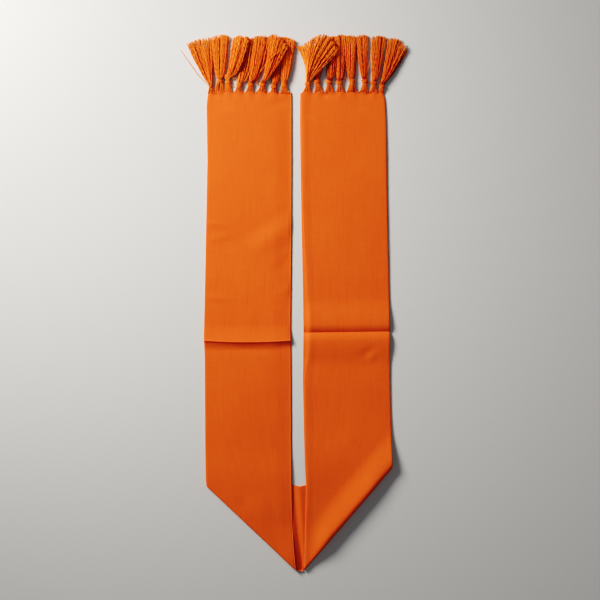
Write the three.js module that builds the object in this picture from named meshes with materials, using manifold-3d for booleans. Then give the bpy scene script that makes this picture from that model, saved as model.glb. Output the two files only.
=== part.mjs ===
// Angavastram: a long plain stole with knotted tassels at both ends. It is folded once along its
// length, so it has two plies, and it lies flat, doubled at the neck into a narrow V.
// Millimetres. +X is to the right, +Y is towards the tassels, +Z is up from the surface it lies on.
// While it is being made, X = 0 is the middle line of the V and Y = 0 is the lowest edge of the neck.
import * as THREE from 'three';
import { mergeVertices } from 'three/addons/utils/BufferGeometryUtils.js';
import Module from 'manifold-3d';

const wasm = await Module();
wasm.setup();

// ---- driving dimensions ------------------------------------------------------------------------
const seamGap = 0.3;                 // between solids that meet
const plyThickness = 1.4;            // one layer, with its nap and the air in it
const plySlit = 0.2;                 // groove between the two plies along an open edge
const stripThickness = 2 * plyThickness + plySlit;
const stackLevel = stripThickness + 2 * seamGap;   // underside of a stretch that lies on another
const clothEnd = 898.5;              // from the lowest edge of the neck to the tasselled ends
const neckWidth = 160.8;             // the folded strip's own width, seen at the neck
const across = 7;                    // spans across a stretch
const turningSections = 7;           // sections between the slanting ones and the level ones
const settlingPasses = 8;            // rounds that find where a slanting section meets an edge

// The slanting folds where the strip turns over at the neck. Each runs from the column's outer edge
// at cornerY to its inner edge at apexY. The nose is the turned cloth itself, and puff is how far
// the fold stands up unpressed, highest at puffCrest from the edge and gone at puffReach.
const leftFold = {
  cornerY: neckWidth, apexY: 1.9, noseRadius: 3.2, noseDepth: 4.4, puff: 0.4, puffCrest: 14, puffReach: 44,
};
const rightFold = {
  cornerY: 194.5, apexY: 1.9, noseRadius: 5.0, noseDepth: 5.8, puff: 5.6, puffCrest: 26, puffReach: 74,
};
const puffShape = { atNose: 0.45, apexFade: 2.4, atCorner: 0.7, cornerShare: 0.25 };
const nose = { blunt: 0.22, sections: [0, 0.16, 0.5, 1] };   // share of full height at its very edge
const neckRamp = { start: 12, length: 30 };   // how a column rises over the neck stretch's edge
const liftKept = 0.9;                         // swells lower than this are only in the upper ply

// Edges of each column: y is the height up the column, outer and inner are distances from the
// middle line, and peek is how far the lower ply shows beyond the upper one at the inner edge.
const leftEdges = [
  { y: 0,     outer: 174.8, inner: 7.6,  peek: 1.5 },
  { y: 22,    outer: 174.8, inner: 10.3, peek: 1.5 },
  { y: 50,    outer: 174.8, inner: 12.2, peek: 1.5 },
  { y: 97,    outer: 174.8, inner: 14.0, peek: 1.5 },
  { y: 160,   outer: 174.8, inner: 15.8, peek: 2.0 },
  { y: 230,   outer: 176.7, inner: 16.2, peek: 2.0 },
  { y: 400,   outer: 178.6, inner: 16.8, peek: 1.5 },
  { y: 443,   outer: 180.5, inner: 17.8, peek: 1.5 },
  { y: 500,   outer: 178.6, inner: 16.8, peek: 1.5 },
  { y: 600,   outer: 176.7, inner: 15.0, peek: 1.5 },
  { y: 770,   outer: 173.0, inner: 15.0, peek: 1.5 },
  { y: 870,   outer: 174.8, inner: 15.0, peek: 1.5 },
  { y: 898.5, outer: 169.5, inner: 16.5, peek: 1.0 },
];
const rightEdges = [
  { y: 0,     outer: 173.0, inner: 7.5,  peek: 1.5 },
  { y: 22,    outer: 173.0, inner: 9.0,  peek: 1.5 },
  { y: 97,    outer: 173.0, inner: 10.3, peek: 2.5 },
  { y: 161,   outer: 173.0, inner: 12.2, peek: 4.5 },
  { y: 200,   outer: 173.0, inner: 10.3, peek: 6.5 },
  { y: 266,   outer: 171.1, inner: 8.4,  peek: 7.0 },
  { y: 359,   outer: 169.2, inner: 6.5,  peek: 7.5 },
  { y: 452,   outer: 168.8, inner: 7.5,  peek: 7.5 },
  { y: 527,   outer: 167.4, inner: 6.5,  peek: 6.0 },
  { y: 612,   outer: 165.5, inner: 4.7,  peek: 3.5 },
  { y: 714,   outer: 163.6, inner: 2.8,  peek: 2.0 },
  { y: 845,   outer: 161.8, inner: 0.9,  peek: 1.5 },
  { y: 882,   outer: 159.9, inner: 1.2,  peek: 1.5 },
  { y: 898.5, outer: 156.5, inner: 1.9,  peek: 1.0 },
];

// Raised creases. Each runs between two points at distances x from the middle line. above and below
// are the reaches of its two slopes, sharp crests are pressed in, and fade is the share of its
// length over which it dies out at each end.
const leftCreases = [
  // packing ridge
  { x0: 184, y0: 432.5, x1: 14,  y1: 432.5, height: 3.4, above: 28,  below: 13, sharp: true,  fade: 0 },
  // slanting ruck
  { x0: 110, y0: 616,   x1: 14,  y1: 656,   height: 1.6, above: 26,  below: 17, sharp: false, fade: 0.25 },
];
const rightCreases = [
  // the two lips of the packing valley
  { x0: 176, y0: 462,   x1: 0,   y1: 460,   height: 2.2, above: 40,  below: 12, sharp: false, fade: 0 },
  { x0: 176, y0: 433,   x1: 0,   y1: 431,   height: 2.2, above: 17,  below: 40, sharp: false, fade: 0 },
];
const neckCreases = [
  // middle packing ridge, seen in the gap between the columns
  { x0: -6,  y0: 170,   x1: 3.6, y1: -4,    height: 1.8, above: 6.5, below: 7,  sharp: true,  fade: 0 },
];
const sharpness = 1.6;

// The neck stretch: the height of its upper edge from left to right, and the places of its sections
// outside the gap between the columns. In the gap they are shares of its width.
const neckTop = [
  { x: -180, y: neckWidth },
  { x: 12,   y: neckWidth },
  { x: 170,  y: 191 },
];
const neckSections = {
  left: [-154, -132, -100, -64, -32, -17, -12.4],
  tongue: [0, 0.3, 0.55, 0.8, 1],
  right: [10.5, 17, 34, 66, 100, 128, 148],
  lowestEdge: 0.2,
  shoulder: 0.05,
};

// Tassels. rootX and rootWidth are the gathered warp at the cloth's end; the knot and the two
// outermost thread ends are given from the middle line and from the cloth's end. crown is how much
// further the middle threads reach. wide and deep count the threads, and over lifts the threads on
// the right of a bundle that lies on its neighbour. strayX and strayY are one loose thread's end.
const leftTassels = [
  { rootX: -165.4, rootWidth: 12, knotX: -166.2, knotY: 10,
    tipX0: -209.5, tipY0: 90, tipX1: -165, tipY1: 101, crown: 3, wide: 5, deep: 3, over: 0,
    strayX: -222.8, strayY: 77.3 },
  { rootX: -151, rootWidth: 15, knotX: -149.3, knotY: 20.4,
    tipX0: -160.5, tipY0: 102, tipX1: -133, tipY1: 104, crown: 2, wide: 5, deep: 3, over: 0 },
  { rootX: -133.6, rootWidth: 16, knotX: -134, knotY: 25,
    tipX0: -122, tipY0: 102, tipX1: -94.5, tipY1: 101, crown: 2, wide: 5, deep: 3, over: 6.5 },
  { rootX: -114.6, rootWidth: 17, knotX: -112.6, knotY: 12.3,
    tipX0: -103.5, tipY0: 99, tipX1: -86.5, tipY1: 98, crown: 1, wide: 4, deep: 3, over: 0 },
  { rootX: -93.7, rootWidth: 17, knotX: -91.2, knotY: 13,
    tipX0: -82.5, tipY0: 102, tipX1: -58.5, tipY1: 101, crown: 2, wide: 5, deep: 3, over: 0 },
  { rootX: -72, rootWidth: 19, knotX: -69, knotY: 12.3,
    tipX0: -54.5, tipY0: 105, tipX1: -22.5, tipY1: 81, crown: 4, wide: 5, deep: 3, over: 7.5 },
  { rootX: -49, rootWidth: 16, knotX: -46.9, knotY: 8,
    tipX0: -44.5, tipY0: 101, tipX1: -36, tipY1: 100, crown: 1, wide: 4, deep: 3, over: 0 },
  { rootX: -27.6, rootWidth: 16, knotX: -28.4, knotY: 13.5,
    tipX0: -31, tipY0: 102, tipX1: -9.5, tipY1: 96, crown: 2, wide: 5, deep: 3, over: 0 },
];
const rightTassels = [
  { rootX: 13.8, rootWidth: 18, knotX: 15.5, knotY: 14.9,
    tipX0: -5.2, tipY0: 87, tipX1: 70.9, tipY1: 78, crown: 24, wide: 8, deep: 2, over: 8.5 },
  { rootX: 37, rootWidth: 18, knotX: 32.5, knotY: 19.3,
    tipX0: 44, tipY0: 100, tipX1: 57.5, tipY1: 99, crown: 2, wide: 4, deep: 3, over: 0 },
  { rootX: 57, rootWidth: 18, knotX: 54.7, knotY: 19.3,
    tipX0: 61, tipY0: 101, tipX1: 70, tipY1: 101, crown: 1, wide: 4, deep: 3, over: 0 },
  { rootX: 77.2, rootWidth: 18, knotX: 74.6, knotY: 17.9,
    tipX0: 73, tipY0: 104, tipX1: 84.5, tipY1: 103, crown: 2, wide: 4, deep: 3, over: 0 },
  { rootX: 98.8, rootWidth: 20, knotX: 97.8, knotY: 20.8,
    tipX0: 88, tipY0: 103, tipX1: 104, tipY1: 103, crown: 1, wide: 5, deep: 3, over: 0 },
  { rootX: 120.4, rootWidth: 18, knotX: 121.9, knotY: 20.8,
    tipX0: 108, tipY0: 103, tipX1: 124, tipY1: 103, crown: 2, wide: 5, deep: 3, over: 0 },
  { rootX: 138.8, rootWidth: 16, knotX: 138.9, knotY: 15.6,
    tipX0: 138.5, tipY0: 102, tipX1: 159, tipY1: 101, crown: 2, wide: 5, deep: 3, over: 0 },
  { rootX: 152.4, rootWidth: 9, knotX: 154.5, knotY: 11.2,
    tipX0: 167, tipY0: 99, tipX1: 200.5, tipY1: 84, crown: 5, wide: 5, deep: 3, over: 0 },
];

// A tassel's head: the gathered warp narrows from the cloth's end to a neck, and then comes the knot.
const tent = {
  height: 2.5, middleHeight: 2.8, middleShare: 0.55, middleRise: 0.4, neck: 5.6, neckHeight: 3.4,
};
const knot = { width: 10.5, length: 8.0, height: 6.8, centreZ: 3.6, corners: 8, squareness: 0.6 };
const knotRows = [
  { along: -0.2, size: 0.97 },
  { along: 0.22, size: 1 },
  { along: 0.5,  size: 0.9 },
];
// The threads: their pitch inside the knot and at their ends, how each layer is shorter than the one
// below it, how soon a bundle spreads, and how soon it rises to lie on its neighbour.
const thread = {
  radius: 0.8, corners: 3, spans: 3, rootPitch: 1.5, rootSpan: 6.0, rootAlong: 0.4,
  lowest: 1.2, tipPitch: 1.75, tipStep: 1.5, spread: 0.8, riseAlong: 3.2, riseAcross: 3,
};
const stray = { rootX: -2, bendX: -14, bendY: 16, bendZ: 1.8 };
const mergeTolerance = 1e-4;

// ---- finishes ----------------------------------------------------------------------------------
const saffronCloth = { color: 0xd8601c, roughness: 0.8, metalness: 0 };
const shadedCloth = { color: 0xb8480f, roughness: 0.8, metalness: 0 };
const saffronYarn = { color: 0xe2761f, roughness: 0.65, metalness: 0 };

// ---- small helpers -----------------------------------------------------------------------------
const mix = (a, b, t) => a + (b - a) * t;
const clamp01 = (t) => Math.min(1, Math.max(0, t));
const smooth = (t) => clamp01(t) ** 2 * (3 - 2 * clamp01(t));

// Reads a column of a table whose rows are sorted by the key, straight between its rows.
function readTable(rows, key, column, value) {
  const last = rows.length - 1;
  let row = 0;
  while (row < last - 1 && rows[row + 1][key] < value) row += 1;
  const span = (value - rows[row][key]) / (rows[row + 1][key] - rows[row][key]);
  return mix(rows[row][column], rows[row + 1][column], clamp01(span));
}

// A closed solid through rings that all have the same number of points, with both ends capped.
function loftRings(rings, capFaces) {
  const ringSize = rings[0].length;
  const index = [];
  for (let ring = 0; ring < rings.length - 1; ring += 1) {
    for (let point = 0; point < ringSize; point += 1) {
      const next = (point + 1) % ringSize;
      const a = ring * ringSize + point;
      const b = ring * ringSize + next;
      index.push(a, b, b + ringSize);
      index.push(a, b + ringSize, a + ringSize);
    }
  }
  const lastRing = (rings.length - 1) * ringSize;
  for (const [a, b, c] of capFaces) {
    index.push(a, c, b);
    index.push(lastRing + a, lastRing + b, lastRing + c);
  }
  const geometry = new THREE.BufferGeometry();
  geometry.setAttribute('position', new THREE.Float32BufferAttribute(rings.flat(2), 3));
  geometry.setIndex(facesOut(rings.flat(), index));
  return geometry;
}

// The same faces, turned round if the shell they make is inside out.
function facesOut(points, index) {
  const corners = points.map(([x, y, z]) => new THREE.Vector3(x, y, z));
  const cross = new THREE.Vector3();
  let volume = 0;
  for (let face = 0; face < index.length; face += 3) {
    const [a, b, c] = index.slice(face, face + 3);
    volume += corners[a].dot(cross.crossVectors(corners[b], corners[c])) / 6;
  }
  return volume > 0 ? index : index.toReversed();
}

function fanFaces(count) {
  return Array.from({ length: count - 2 }, (_, step) => [0, step + 1, step + 2]);
}

// ---- height of a stretch -----------------------------------------------------------------------
// Height added by the creases at a point; x is the distance from the middle line on that side.
function creaseLift(creases, x, y) {
  let lift = 0;
  for (const crease of creases) {
    const runX = crease.x1 - crease.x0;
    const runY = crease.y1 - crease.y0;
    const length = Math.hypot(runX, runY);
    const along = ((x - crease.x0) * runX + (y - crease.y0) * runY) / length ** 2;
    const beside = (runX * (y - crease.y0) - runY * (x - crease.x0)) / length * Math.sign(runX);
    const away = clamp01(Math.abs(beside) / (beside > 0 ? crease.above : crease.below));
    const profile = crease.sharp ? (1 - away) ** sharpness : 1 - smooth(away);
    const ends = crease.fade > 0 ? smooth(along / crease.fade) * smooth((1 - along) / crease.fade) : 1;
    lift += crease.height * profile * ends;
  }
  return lift;
}

// The slanting fold of a column as a line, with the distance of a point above it.
function foldLine(column) {
  const { cornerY, apexY } = column.fold;
  const corner = new THREE.Vector2(readTable(column.edges, 'y', 'outer', cornerY), cornerY);
  const apex = new THREE.Vector2(readTable(column.edges, 'y', 'inner', apexY), apexY);
  const run = corner.clone().sub(apex);
  const length = run.length();
  const yAt = (x) => apex.y + (x - apex.x) * run.y / run.x;
  return {
    yAt,
    slant: run.x / length,
    distance: (x, y) => (y - yAt(x)) * run.x / length,
    share: (x) => clamp01((x - apex.x) / run.x),
  };
}

// Top and underside of a column at a point.
function columnLevels(column, line, x, y) {
  const { noseRadius, noseDepth, puff, puffCrest, puffReach } = column.fold;
  const distance = Math.max(0, line.distance(x, y));
  const rise = mix(puffShape.atNose, 1, smooth(distance / puffCrest));
  const fall = 1 - smooth((distance - puffCrest) / (puffReach - puffCrest));
  const nearCorner = smooth(1 - (1 - line.share(x)) / puffShape.cornerShare);
  const alongFold = smooth(line.share(x) * puffShape.apexFade) * mix(1, puffShape.atCorner, nearCorner);
  const lift = puff * rise * fall * alongFold + creaseLift(column.creases, x, y);
  const neckEdge = readTable(neckTop, 'x', 'y', column.side * x);
  const base = stackLevel * (1 - smooth((y - neckEdge - neckRamp.start) / neckRamp.length));
  const top = base + stripThickness + lift;
  if (distance < noseRadius) {
    const round = Math.max(nose.blunt, Math.sqrt(1 - (1 - distance / noseRadius) ** 2));
    return { top: top / 2 * (1 + round), under: top / 2 * (1 - round) };
  }
  const inNose = distance < noseDepth + seamGap / 2;
  return { top, under: inNose ? 0 : base + Math.max(0, lift - liftKept) };
}

// ---- one stretch of the folded strip -----------------------------------------------------------
// Insets of the section's corner points: a rounded folded edge, and an open edge in two plies.
const edgeShape = { roundInset: 0.4, turn: 1.6, notchDepth: 2.0, inner: 3.4, soften: 0.45 };
const pointsPastStations = 7;        // of a section at its open edge, and 3 more at its folded edge
const pointsAtFold = 3;
// Heights of those points, as shares of the thickness.
const plyShare = plyThickness / stripThickness;
const slitShare = plySlit / stripThickness;
const edgeLevels = {
  lowerMiddle: plyShare / 2,
  lowerTop: plyShare,
  notch: plyShare + slitShare / 2,
  upperUnder: plyShare + slitShare,
  upperMiddle: 1 - plyShare / 2,
  upperTop: 1,
  roundTop: 0.82,
  roundMiddle: 0.5,
  roundUnder: 0.18,
};

// The ring across a stretch from its folded edge to its open edge, as [x, y, z] points.
function stripRing(folded, open, peek, levels) {
  const width = Math.hypot(open.x - folded.x, open.y - folded.y);
  const pointAt = (inset, level) => {
    const x = mix(folded.x, open.x, inset / width);
    const y = mix(folded.y, open.y, inset / width);
    const { top, under } = levels(x, y);
    return [x, y, level(top, under)];
  };
  const onTop = (top) => top;
  const onUnder = (top, under) => under;
  const part = (share) => (top, under) => mix(under, top, share);
  const upperEnd = width - peek;
  const innermost = upperEnd - edgeShape.inner;
  const stations = [];
  for (let step = 0; step <= across; step += 1) {
    stations.push(mix(edgeShape.turn, innermost, step / across));
  }
  return [
    ...stations.map((inset) => pointAt(inset, onUnder)),
    pointAt(width - edgeShape.soften, onUnder),
    pointAt(width, part(edgeLevels.lowerMiddle)),
    pointAt(width - edgeShape.soften, part(edgeLevels.lowerTop)),
    pointAt(upperEnd - edgeShape.notchDepth, part(edgeLevels.notch)),
    pointAt(upperEnd - edgeShape.soften, part(edgeLevels.upperUnder)),
    pointAt(upperEnd, part(edgeLevels.upperMiddle)),
    pointAt(upperEnd - edgeShape.soften, part(edgeLevels.upperTop)),
    ...stations.toReversed().map((inset) => pointAt(inset, onTop)),
    pointAt(edgeShape.roundInset, part(edgeLevels.roundTop)),
    pointAt(0, part(edgeLevels.roundMiddle)),
    pointAt(edgeShape.roundInset, part(edgeLevels.roundUnder)),
  ];
}

// Faces that close the end of a stretch: strips under its flat span and fans at its two edges.
function stripCap() {
  const under = (step) => step;
  const top = (step) => 2 * across + pointsPastStations + 1 - step;
  const faces = [];
  for (let step = 0; step < across; step += 1) {
    faces.push([under(step), under(step + 1), top(step + 1)]);
    faces.push([under(step), top(step + 1), top(step)]);
  }
  const notch = across + (pointsPastStations + 1) / 2;
  for (let step = across; step < top(across); step += 1) {
    if (step !== notch && step + 1 !== notch) faces.push([notch, step, step + 1]);
  }
  faces.push([under(across), notch, top(across)]);
  for (let step = 0; step < pointsAtFold; step += 1) {
    faces.push([under(0), top(0) + step, top(0) + step + 1]);
  }
  return faces;
}

// Places of the sections up a column: beside the fold they lie along it, and then they turn level.
function columnSections(column, line) {
  const { noseRadius, noseDepth, puffCrest, puffReach } = column.fold;
  const edgeHeight = (edge, distance) => {
    let y = column.fold.apexY;
    for (let pass = 0; pass < settlingPasses; pass += 1) {
      y = line.yAt(readTable(column.edges, 'y', edge, y)) + distance / line.slant;
    }
    return y;
  };
  const besideFold = nose.sections.map((share) => share * noseRadius);
  besideFold.push(noseDepth, noseDepth + seamGap);
  besideFold.push(mix(noseDepth, puffCrest, 1 / 2), puffCrest, mix(puffCrest, puffReach, 1 / 2), puffReach);
  const sections = besideFold.map((distance) => ({
    outerY: edgeHeight('outer', distance),
    innerY: edgeHeight('inner', distance),
  }));
  const lastSlanting = sections.at(-1);
  for (let turn = 1; turn <= turningSections; turn += 1) {
    const share = turn / turningSections;
    sections.push({
      outerY: mix(lastSlanting.outerY, column.levelFrom, share),
      innerY: mix(lastSlanting.innerY, column.levelFrom, share),
    });
  }
  for (const y of column.levelPlaces) sections.push({ outerY: y, innerY: y });
  return sections;
}

function columnGeometry(column) {
  const line = foldLine(column);
  const levels = (x, y) => columnLevels(column, line, column.side * x, y);
  const rings = columnSections(column, line).map(({ outerY, innerY }) => {
    const outer = { x: column.side * readTable(column.edges, 'y', 'outer', outerY), y: outerY };
    const inner = { x: column.side * readTable(column.edges, 'y', 'inner', innerY), y: innerY };
    return stripRing(outer, inner, readTable(column.edges, 'y', 'peek', innerY), levels);
  });
  return loftRings(rings, stripCap());
}

// ---- the neck stretch, behind both columns -------------------------------------------------------
function neckGeometry(left, right) {
  const leftLine = foldLine(left);
  const rightLine = foldLine(right);
  const clearOf = (column, line, x) => line.yAt(x) + (column.fold.noseDepth + 2 * seamGap) / line.slant;
  const leftGapX = -readTable(left.edges, 'y', 'inner', 0);
  const rightGapX = readTable(right.edges, 'y', 'inner', 0);
  const lowerY = (x) => {
    if (x >= leftGapX && x <= rightGapX) return neckSections.lowestEdge;
    return x < 0 ? clearOf(left, leftLine, -x) : clearOf(right, rightLine, x);
  };
  const tongueAt = (share) => mix(leftGapX + seamGap, rightGapX - seamGap, share);
  const places = [
    ...neckSections.left,
    leftGapX - neckSections.shoulder,
    ...neckSections.tongue.map(tongueAt),
    rightGapX + neckSections.shoulder,
    ...neckSections.right,
  ];
  const levels = (x, y) => ({ top: stripThickness + creaseLift(neckCreases, x, y), under: 0 });
  const rings = places.map((x) => {
    const folded = { x, y: readTable(neckTop, 'x', 'y', x) };
    return stripRing(folded, { x, y: lowerY(x) }, seamGap, levels);
  });
  return loftRings(rings, stripCap());
}

// ---- tassels -----------------------------------------------------------------------------------
function toManifold(source) {
  const bare = source.clone();
  bare.deleteAttribute('normal');
  bare.deleteAttribute('uv');
  const merged = mergeVertices(bare, mergeTolerance);
  return new wasm.Manifold(new wasm.Mesh({
    numProp: 3,
    vertProperties: merged.attributes.position.array,
    triVerts: new Uint32Array(merged.index.array),
  }));
}

function toGeometry(solid) {
  const mesh = solid.getMesh();
  const geometry = new THREE.BufferGeometry();
  geometry.setAttribute('position', new THREE.Float32BufferAttribute(mesh.vertProperties, 3));
  geometry.setIndex(new THREE.Uint32BufferAttribute(mesh.triVerts, 1));
  return geometry;
}

// Warp gathered from the cloth's edge into the knot, and the knot with a flat upper end.
function headGeometry(tassel) {
  const start = clothEnd + seamGap;
  const startZ = stripThickness / 2;
  const knotY = clothEnd + tassel.knotY;
  const neckY = knotY - knot.length / 2;
  const rows = [
    { x: tassel.rootX, y: start, z: startZ, width: tassel.rootWidth, height: tent.height },
    {
      x: mix(tassel.rootX, tassel.knotX, 1 / 2),
      y: mix(start, neckY, 1 / 2),
      z: mix(startZ, knot.centreZ, tent.middleRise),
      width: mix(tassel.rootWidth, tent.neck, tent.middleShare),
      height: tent.middleHeight,
    },
    { x: tassel.knotX, y: neckY, z: knot.centreZ, width: tent.neck, height: tent.neckHeight },
  ];
  for (const { along, size } of knotRows) {
    rows.push({
      x: tassel.knotX,
      y: knotY + knot.length * along,
      z: knot.centreZ,
      width: knot.width * size,
      height: knot.height * size,
    });
  }
  const squared = (value) => Math.sign(value) * Math.abs(value) ** knot.squareness;
  const ringOf = (row) => Array.from({ length: knot.corners }, (_, corner) => {
    const angle = (corner + 1 / 2) / knot.corners * 2 * Math.PI;
    const acrossX = squared(Math.cos(angle)) * row.width / 2;
    const acrossZ = squared(Math.sin(angle)) * row.height / 2;
    return [row.x + acrossX, row.y, row.z + acrossZ];
  });
  return loftRings(rows.map(ringOf), fanFaces(knot.corners));
}

// One thread from inside the knot to its end: place counts across the bundle, layer upwards.
function threadGeometry(tassel, place, layer) {
  const side = place / (tassel.wide - 1);
  const middle = side - 1 / 2;
  const rootSpan = Math.min((tassel.wide - 1) * thread.rootPitch, thread.rootSpan);
  const root = new THREE.Vector3(
    tassel.knotX + middle * rootSpan,
    clothEnd + tassel.knotY + knot.length * thread.rootAlong,
    knot.centreZ + (layer - (tassel.deep - 1) / 2) * thread.rootPitch,
  );
  const arch = tassel.crown * (1 - (2 * middle) ** 2);
  const tip = new THREE.Vector3(
    mix(tassel.tipX0, tassel.tipX1, side),
    clothEnd + mix(tassel.tipY0, tassel.tipY1, side) + arch - layer * thread.tipStep,
    thread.lowest + layer * thread.tipPitch,
  );
  const points = Array.from({ length: thread.spans + 1 }, (_, step) => {
    const share = step / thread.spans;
    const risen = smooth(share * thread.riseAlong) * smooth(side * thread.riseAcross);
    return new THREE.Vector3(
      mix(root.x, tip.x, share ** thread.spread),
      mix(root.y, tip.y, share),
      mix(root.z, tip.z, share) + tassel.over * risen,
    );
  });
  return threadAlong(points);
}

function threadAlong(points) {
  const section = new THREE.Shape();
  for (let corner = 0; corner < thread.corners; corner += 1) {
    const angle = corner / thread.corners * 2 * Math.PI;
    const x = Math.cos(angle) * thread.radius;
    const y = Math.sin(angle) * thread.radius;
    if (corner === 0) section.moveTo(x, y);
    else section.lineTo(x, y);
  }
  section.closePath();
  const route = new THREE.CatmullRomCurve3(points);
  return new THREE.ExtrudeGeometry(section, { steps: thread.spans, extrudePath: route, bevelEnabled: false });
}

// A loose thread that leaves the side of the knot and lies on the surface.
function strayGeometry(tassel) {
  const knotY = clothEnd + tassel.knotY;
  const root = new THREE.Vector3(tassel.knotX + stray.rootX, knotY, knot.centreZ);
  const bend = new THREE.Vector3(tassel.knotX + stray.bendX, knotY + stray.bendY, stray.bendZ);
  const tip = new THREE.Vector3(tassel.strayX, clothEnd + tassel.strayY, thread.lowest);
  return threadAlong([root, bend, tip]);
}

function tasselGeometry(tassel) {
  let solid = toManifold(headGeometry(tassel));
  for (let layer = 0; layer < tassel.deep; layer += 1) {
    for (let place = 0; place < tassel.wide; place += 1) {
      solid = solid.add(toManifold(threadGeometry(tassel, place, layer)));
    }
  }
  if (tassel.strayX) solid = solid.add(toManifold(strayGeometry(tassel)));
  return toGeometry(solid);
}

// ---- the stole -----------------------------------------------------------------------------------
const leftColumn = {
  side: -1,
  fold: leftFold,
  edges: leftEdges,
  creases: leftCreases,
  levelFrom: 300,
  levelPlaces: [
    345, 390, 419, 426, 432.5, 440, 449, 462, 500, 545, 590, 622, 650, 690, 745, 800, 850, 880, clothEnd,
  ],
};
const rightColumn = {
  side: 1,
  fold: rightFold,
  edges: rightEdges,
  creases: rightCreases,
  levelFrom: 330,
  levelPlaces: [
    365, 398, 416, 431, 441, 448.5, 455, 461, 477, 502, 545, 590, 640, 690, 745, 800, 850, 880, clothEnd,
  ],
};

const stole = new THREE.Group();

function addMesh(name, geometry, finish) {
  const mesh = new THREE.Mesh(geometry, new THREE.MeshStandardMaterial(finish));
  mesh.name = name;
  stole.add(mesh);
}

addMesh('left_panel', columnGeometry(leftColumn), saffronCloth);
addMesh('right_panel', columnGeometry(rightColumn), saffronCloth);
addMesh('neck_panel', neckGeometry(leftColumn, rightColumn), shadedCloth);
for (const [place, tassel] of leftTassels.entries()) {
  addMesh(`tassel_left_${place + 1}`, tasselGeometry(tassel), saffronYarn);
}
for (const [place, tassel] of rightTassels.entries()) {
  addMesh(`tassel_right_${place + 1}`, tasselGeometry(tassel), saffronYarn);
}

// The origin goes to the middle of the footprint, on the surface the stole lies on.
const bounds = new THREE.Box3().setFromObject(stole, true);
const middle = bounds.getCenter(new THREE.Vector3());
stole.position.set(-middle.x, -middle.y, -bounds.min.z);
stole.updateMatrixWorld(true);

export default stole;
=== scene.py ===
import math

import bpy
import numpy as np
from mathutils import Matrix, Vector, noise


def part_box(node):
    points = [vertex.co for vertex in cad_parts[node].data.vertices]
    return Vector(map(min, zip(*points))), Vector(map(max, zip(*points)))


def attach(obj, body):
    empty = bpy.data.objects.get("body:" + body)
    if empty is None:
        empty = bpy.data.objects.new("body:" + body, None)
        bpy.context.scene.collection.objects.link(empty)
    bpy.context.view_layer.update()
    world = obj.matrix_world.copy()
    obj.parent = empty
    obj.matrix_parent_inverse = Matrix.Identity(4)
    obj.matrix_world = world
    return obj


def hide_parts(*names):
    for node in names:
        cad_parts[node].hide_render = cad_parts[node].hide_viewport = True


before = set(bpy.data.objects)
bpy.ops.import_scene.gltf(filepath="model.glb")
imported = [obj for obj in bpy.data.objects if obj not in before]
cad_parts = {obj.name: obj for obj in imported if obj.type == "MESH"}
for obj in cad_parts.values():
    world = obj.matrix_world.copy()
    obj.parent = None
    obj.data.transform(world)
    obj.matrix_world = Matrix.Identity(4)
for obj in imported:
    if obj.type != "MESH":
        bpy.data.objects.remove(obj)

# An angavastram: one long saffron stole, folded lengthwise into two plies and laid in a narrow V,
# with knotted tassels at both ends. Metres throughout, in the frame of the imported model.
scene = bpy.context.scene
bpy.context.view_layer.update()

# the middle line of the V and its lowest edge, found from the neck stretch's own corner
neckCorner = {"fromMiddle": -0.154, "fromLowest": 0.0002}
neckLow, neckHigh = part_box("neck_panel")
middleX = neckLow.x - neckCorner["fromMiddle"]
lowestY = neckLow.y - neckCorner["fromLowest"]
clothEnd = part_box("left_panel")[1].y - lowestY


def smooth(t):
    t = np.clip(t, 0.0, 1.0)
    return t * t * (3 - 2 * t)


def mixed(a, b, t):
    return a + (b - a) * t


def addPiece(name, mesh):
    piece = bpy.data.objects.new(name, mesh)
    scene.collection.objects.link(piece)
    return piece


class Wire:
    # one output of a node tree; arithmetic on it adds Math nodes
    def __init__(self, graph, socket):
        self.graph = graph
        self.socket = socket

    def math(self, operation, *others):
        return self.graph.math(operation, self, *others)

    def __add__(self, other):
        return self.math("ADD", other)

    def __sub__(self, other):
        return self.math("SUBTRACT", other)

    def __mul__(self, other):
        return self.math("MULTIPLY", other)

    def __truediv__(self, other):
        return self.math("DIVIDE", other)

    def __pow__(self, other):
        return self.math("POWER", other)

    def __radd__(self, other):
        return self.graph.math("ADD", other, self)

    def __rsub__(self, other):
        return self.graph.math("SUBTRACT", other, self)

    def __rmul__(self, other):
        return self.graph.math("MULTIPLY", other, self)

    def __rtruediv__(self, other):
        return self.graph.math("DIVIDE", other, self)

    def __neg__(self):
        return self.graph.math("MULTIPLY", self, -1)


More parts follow.
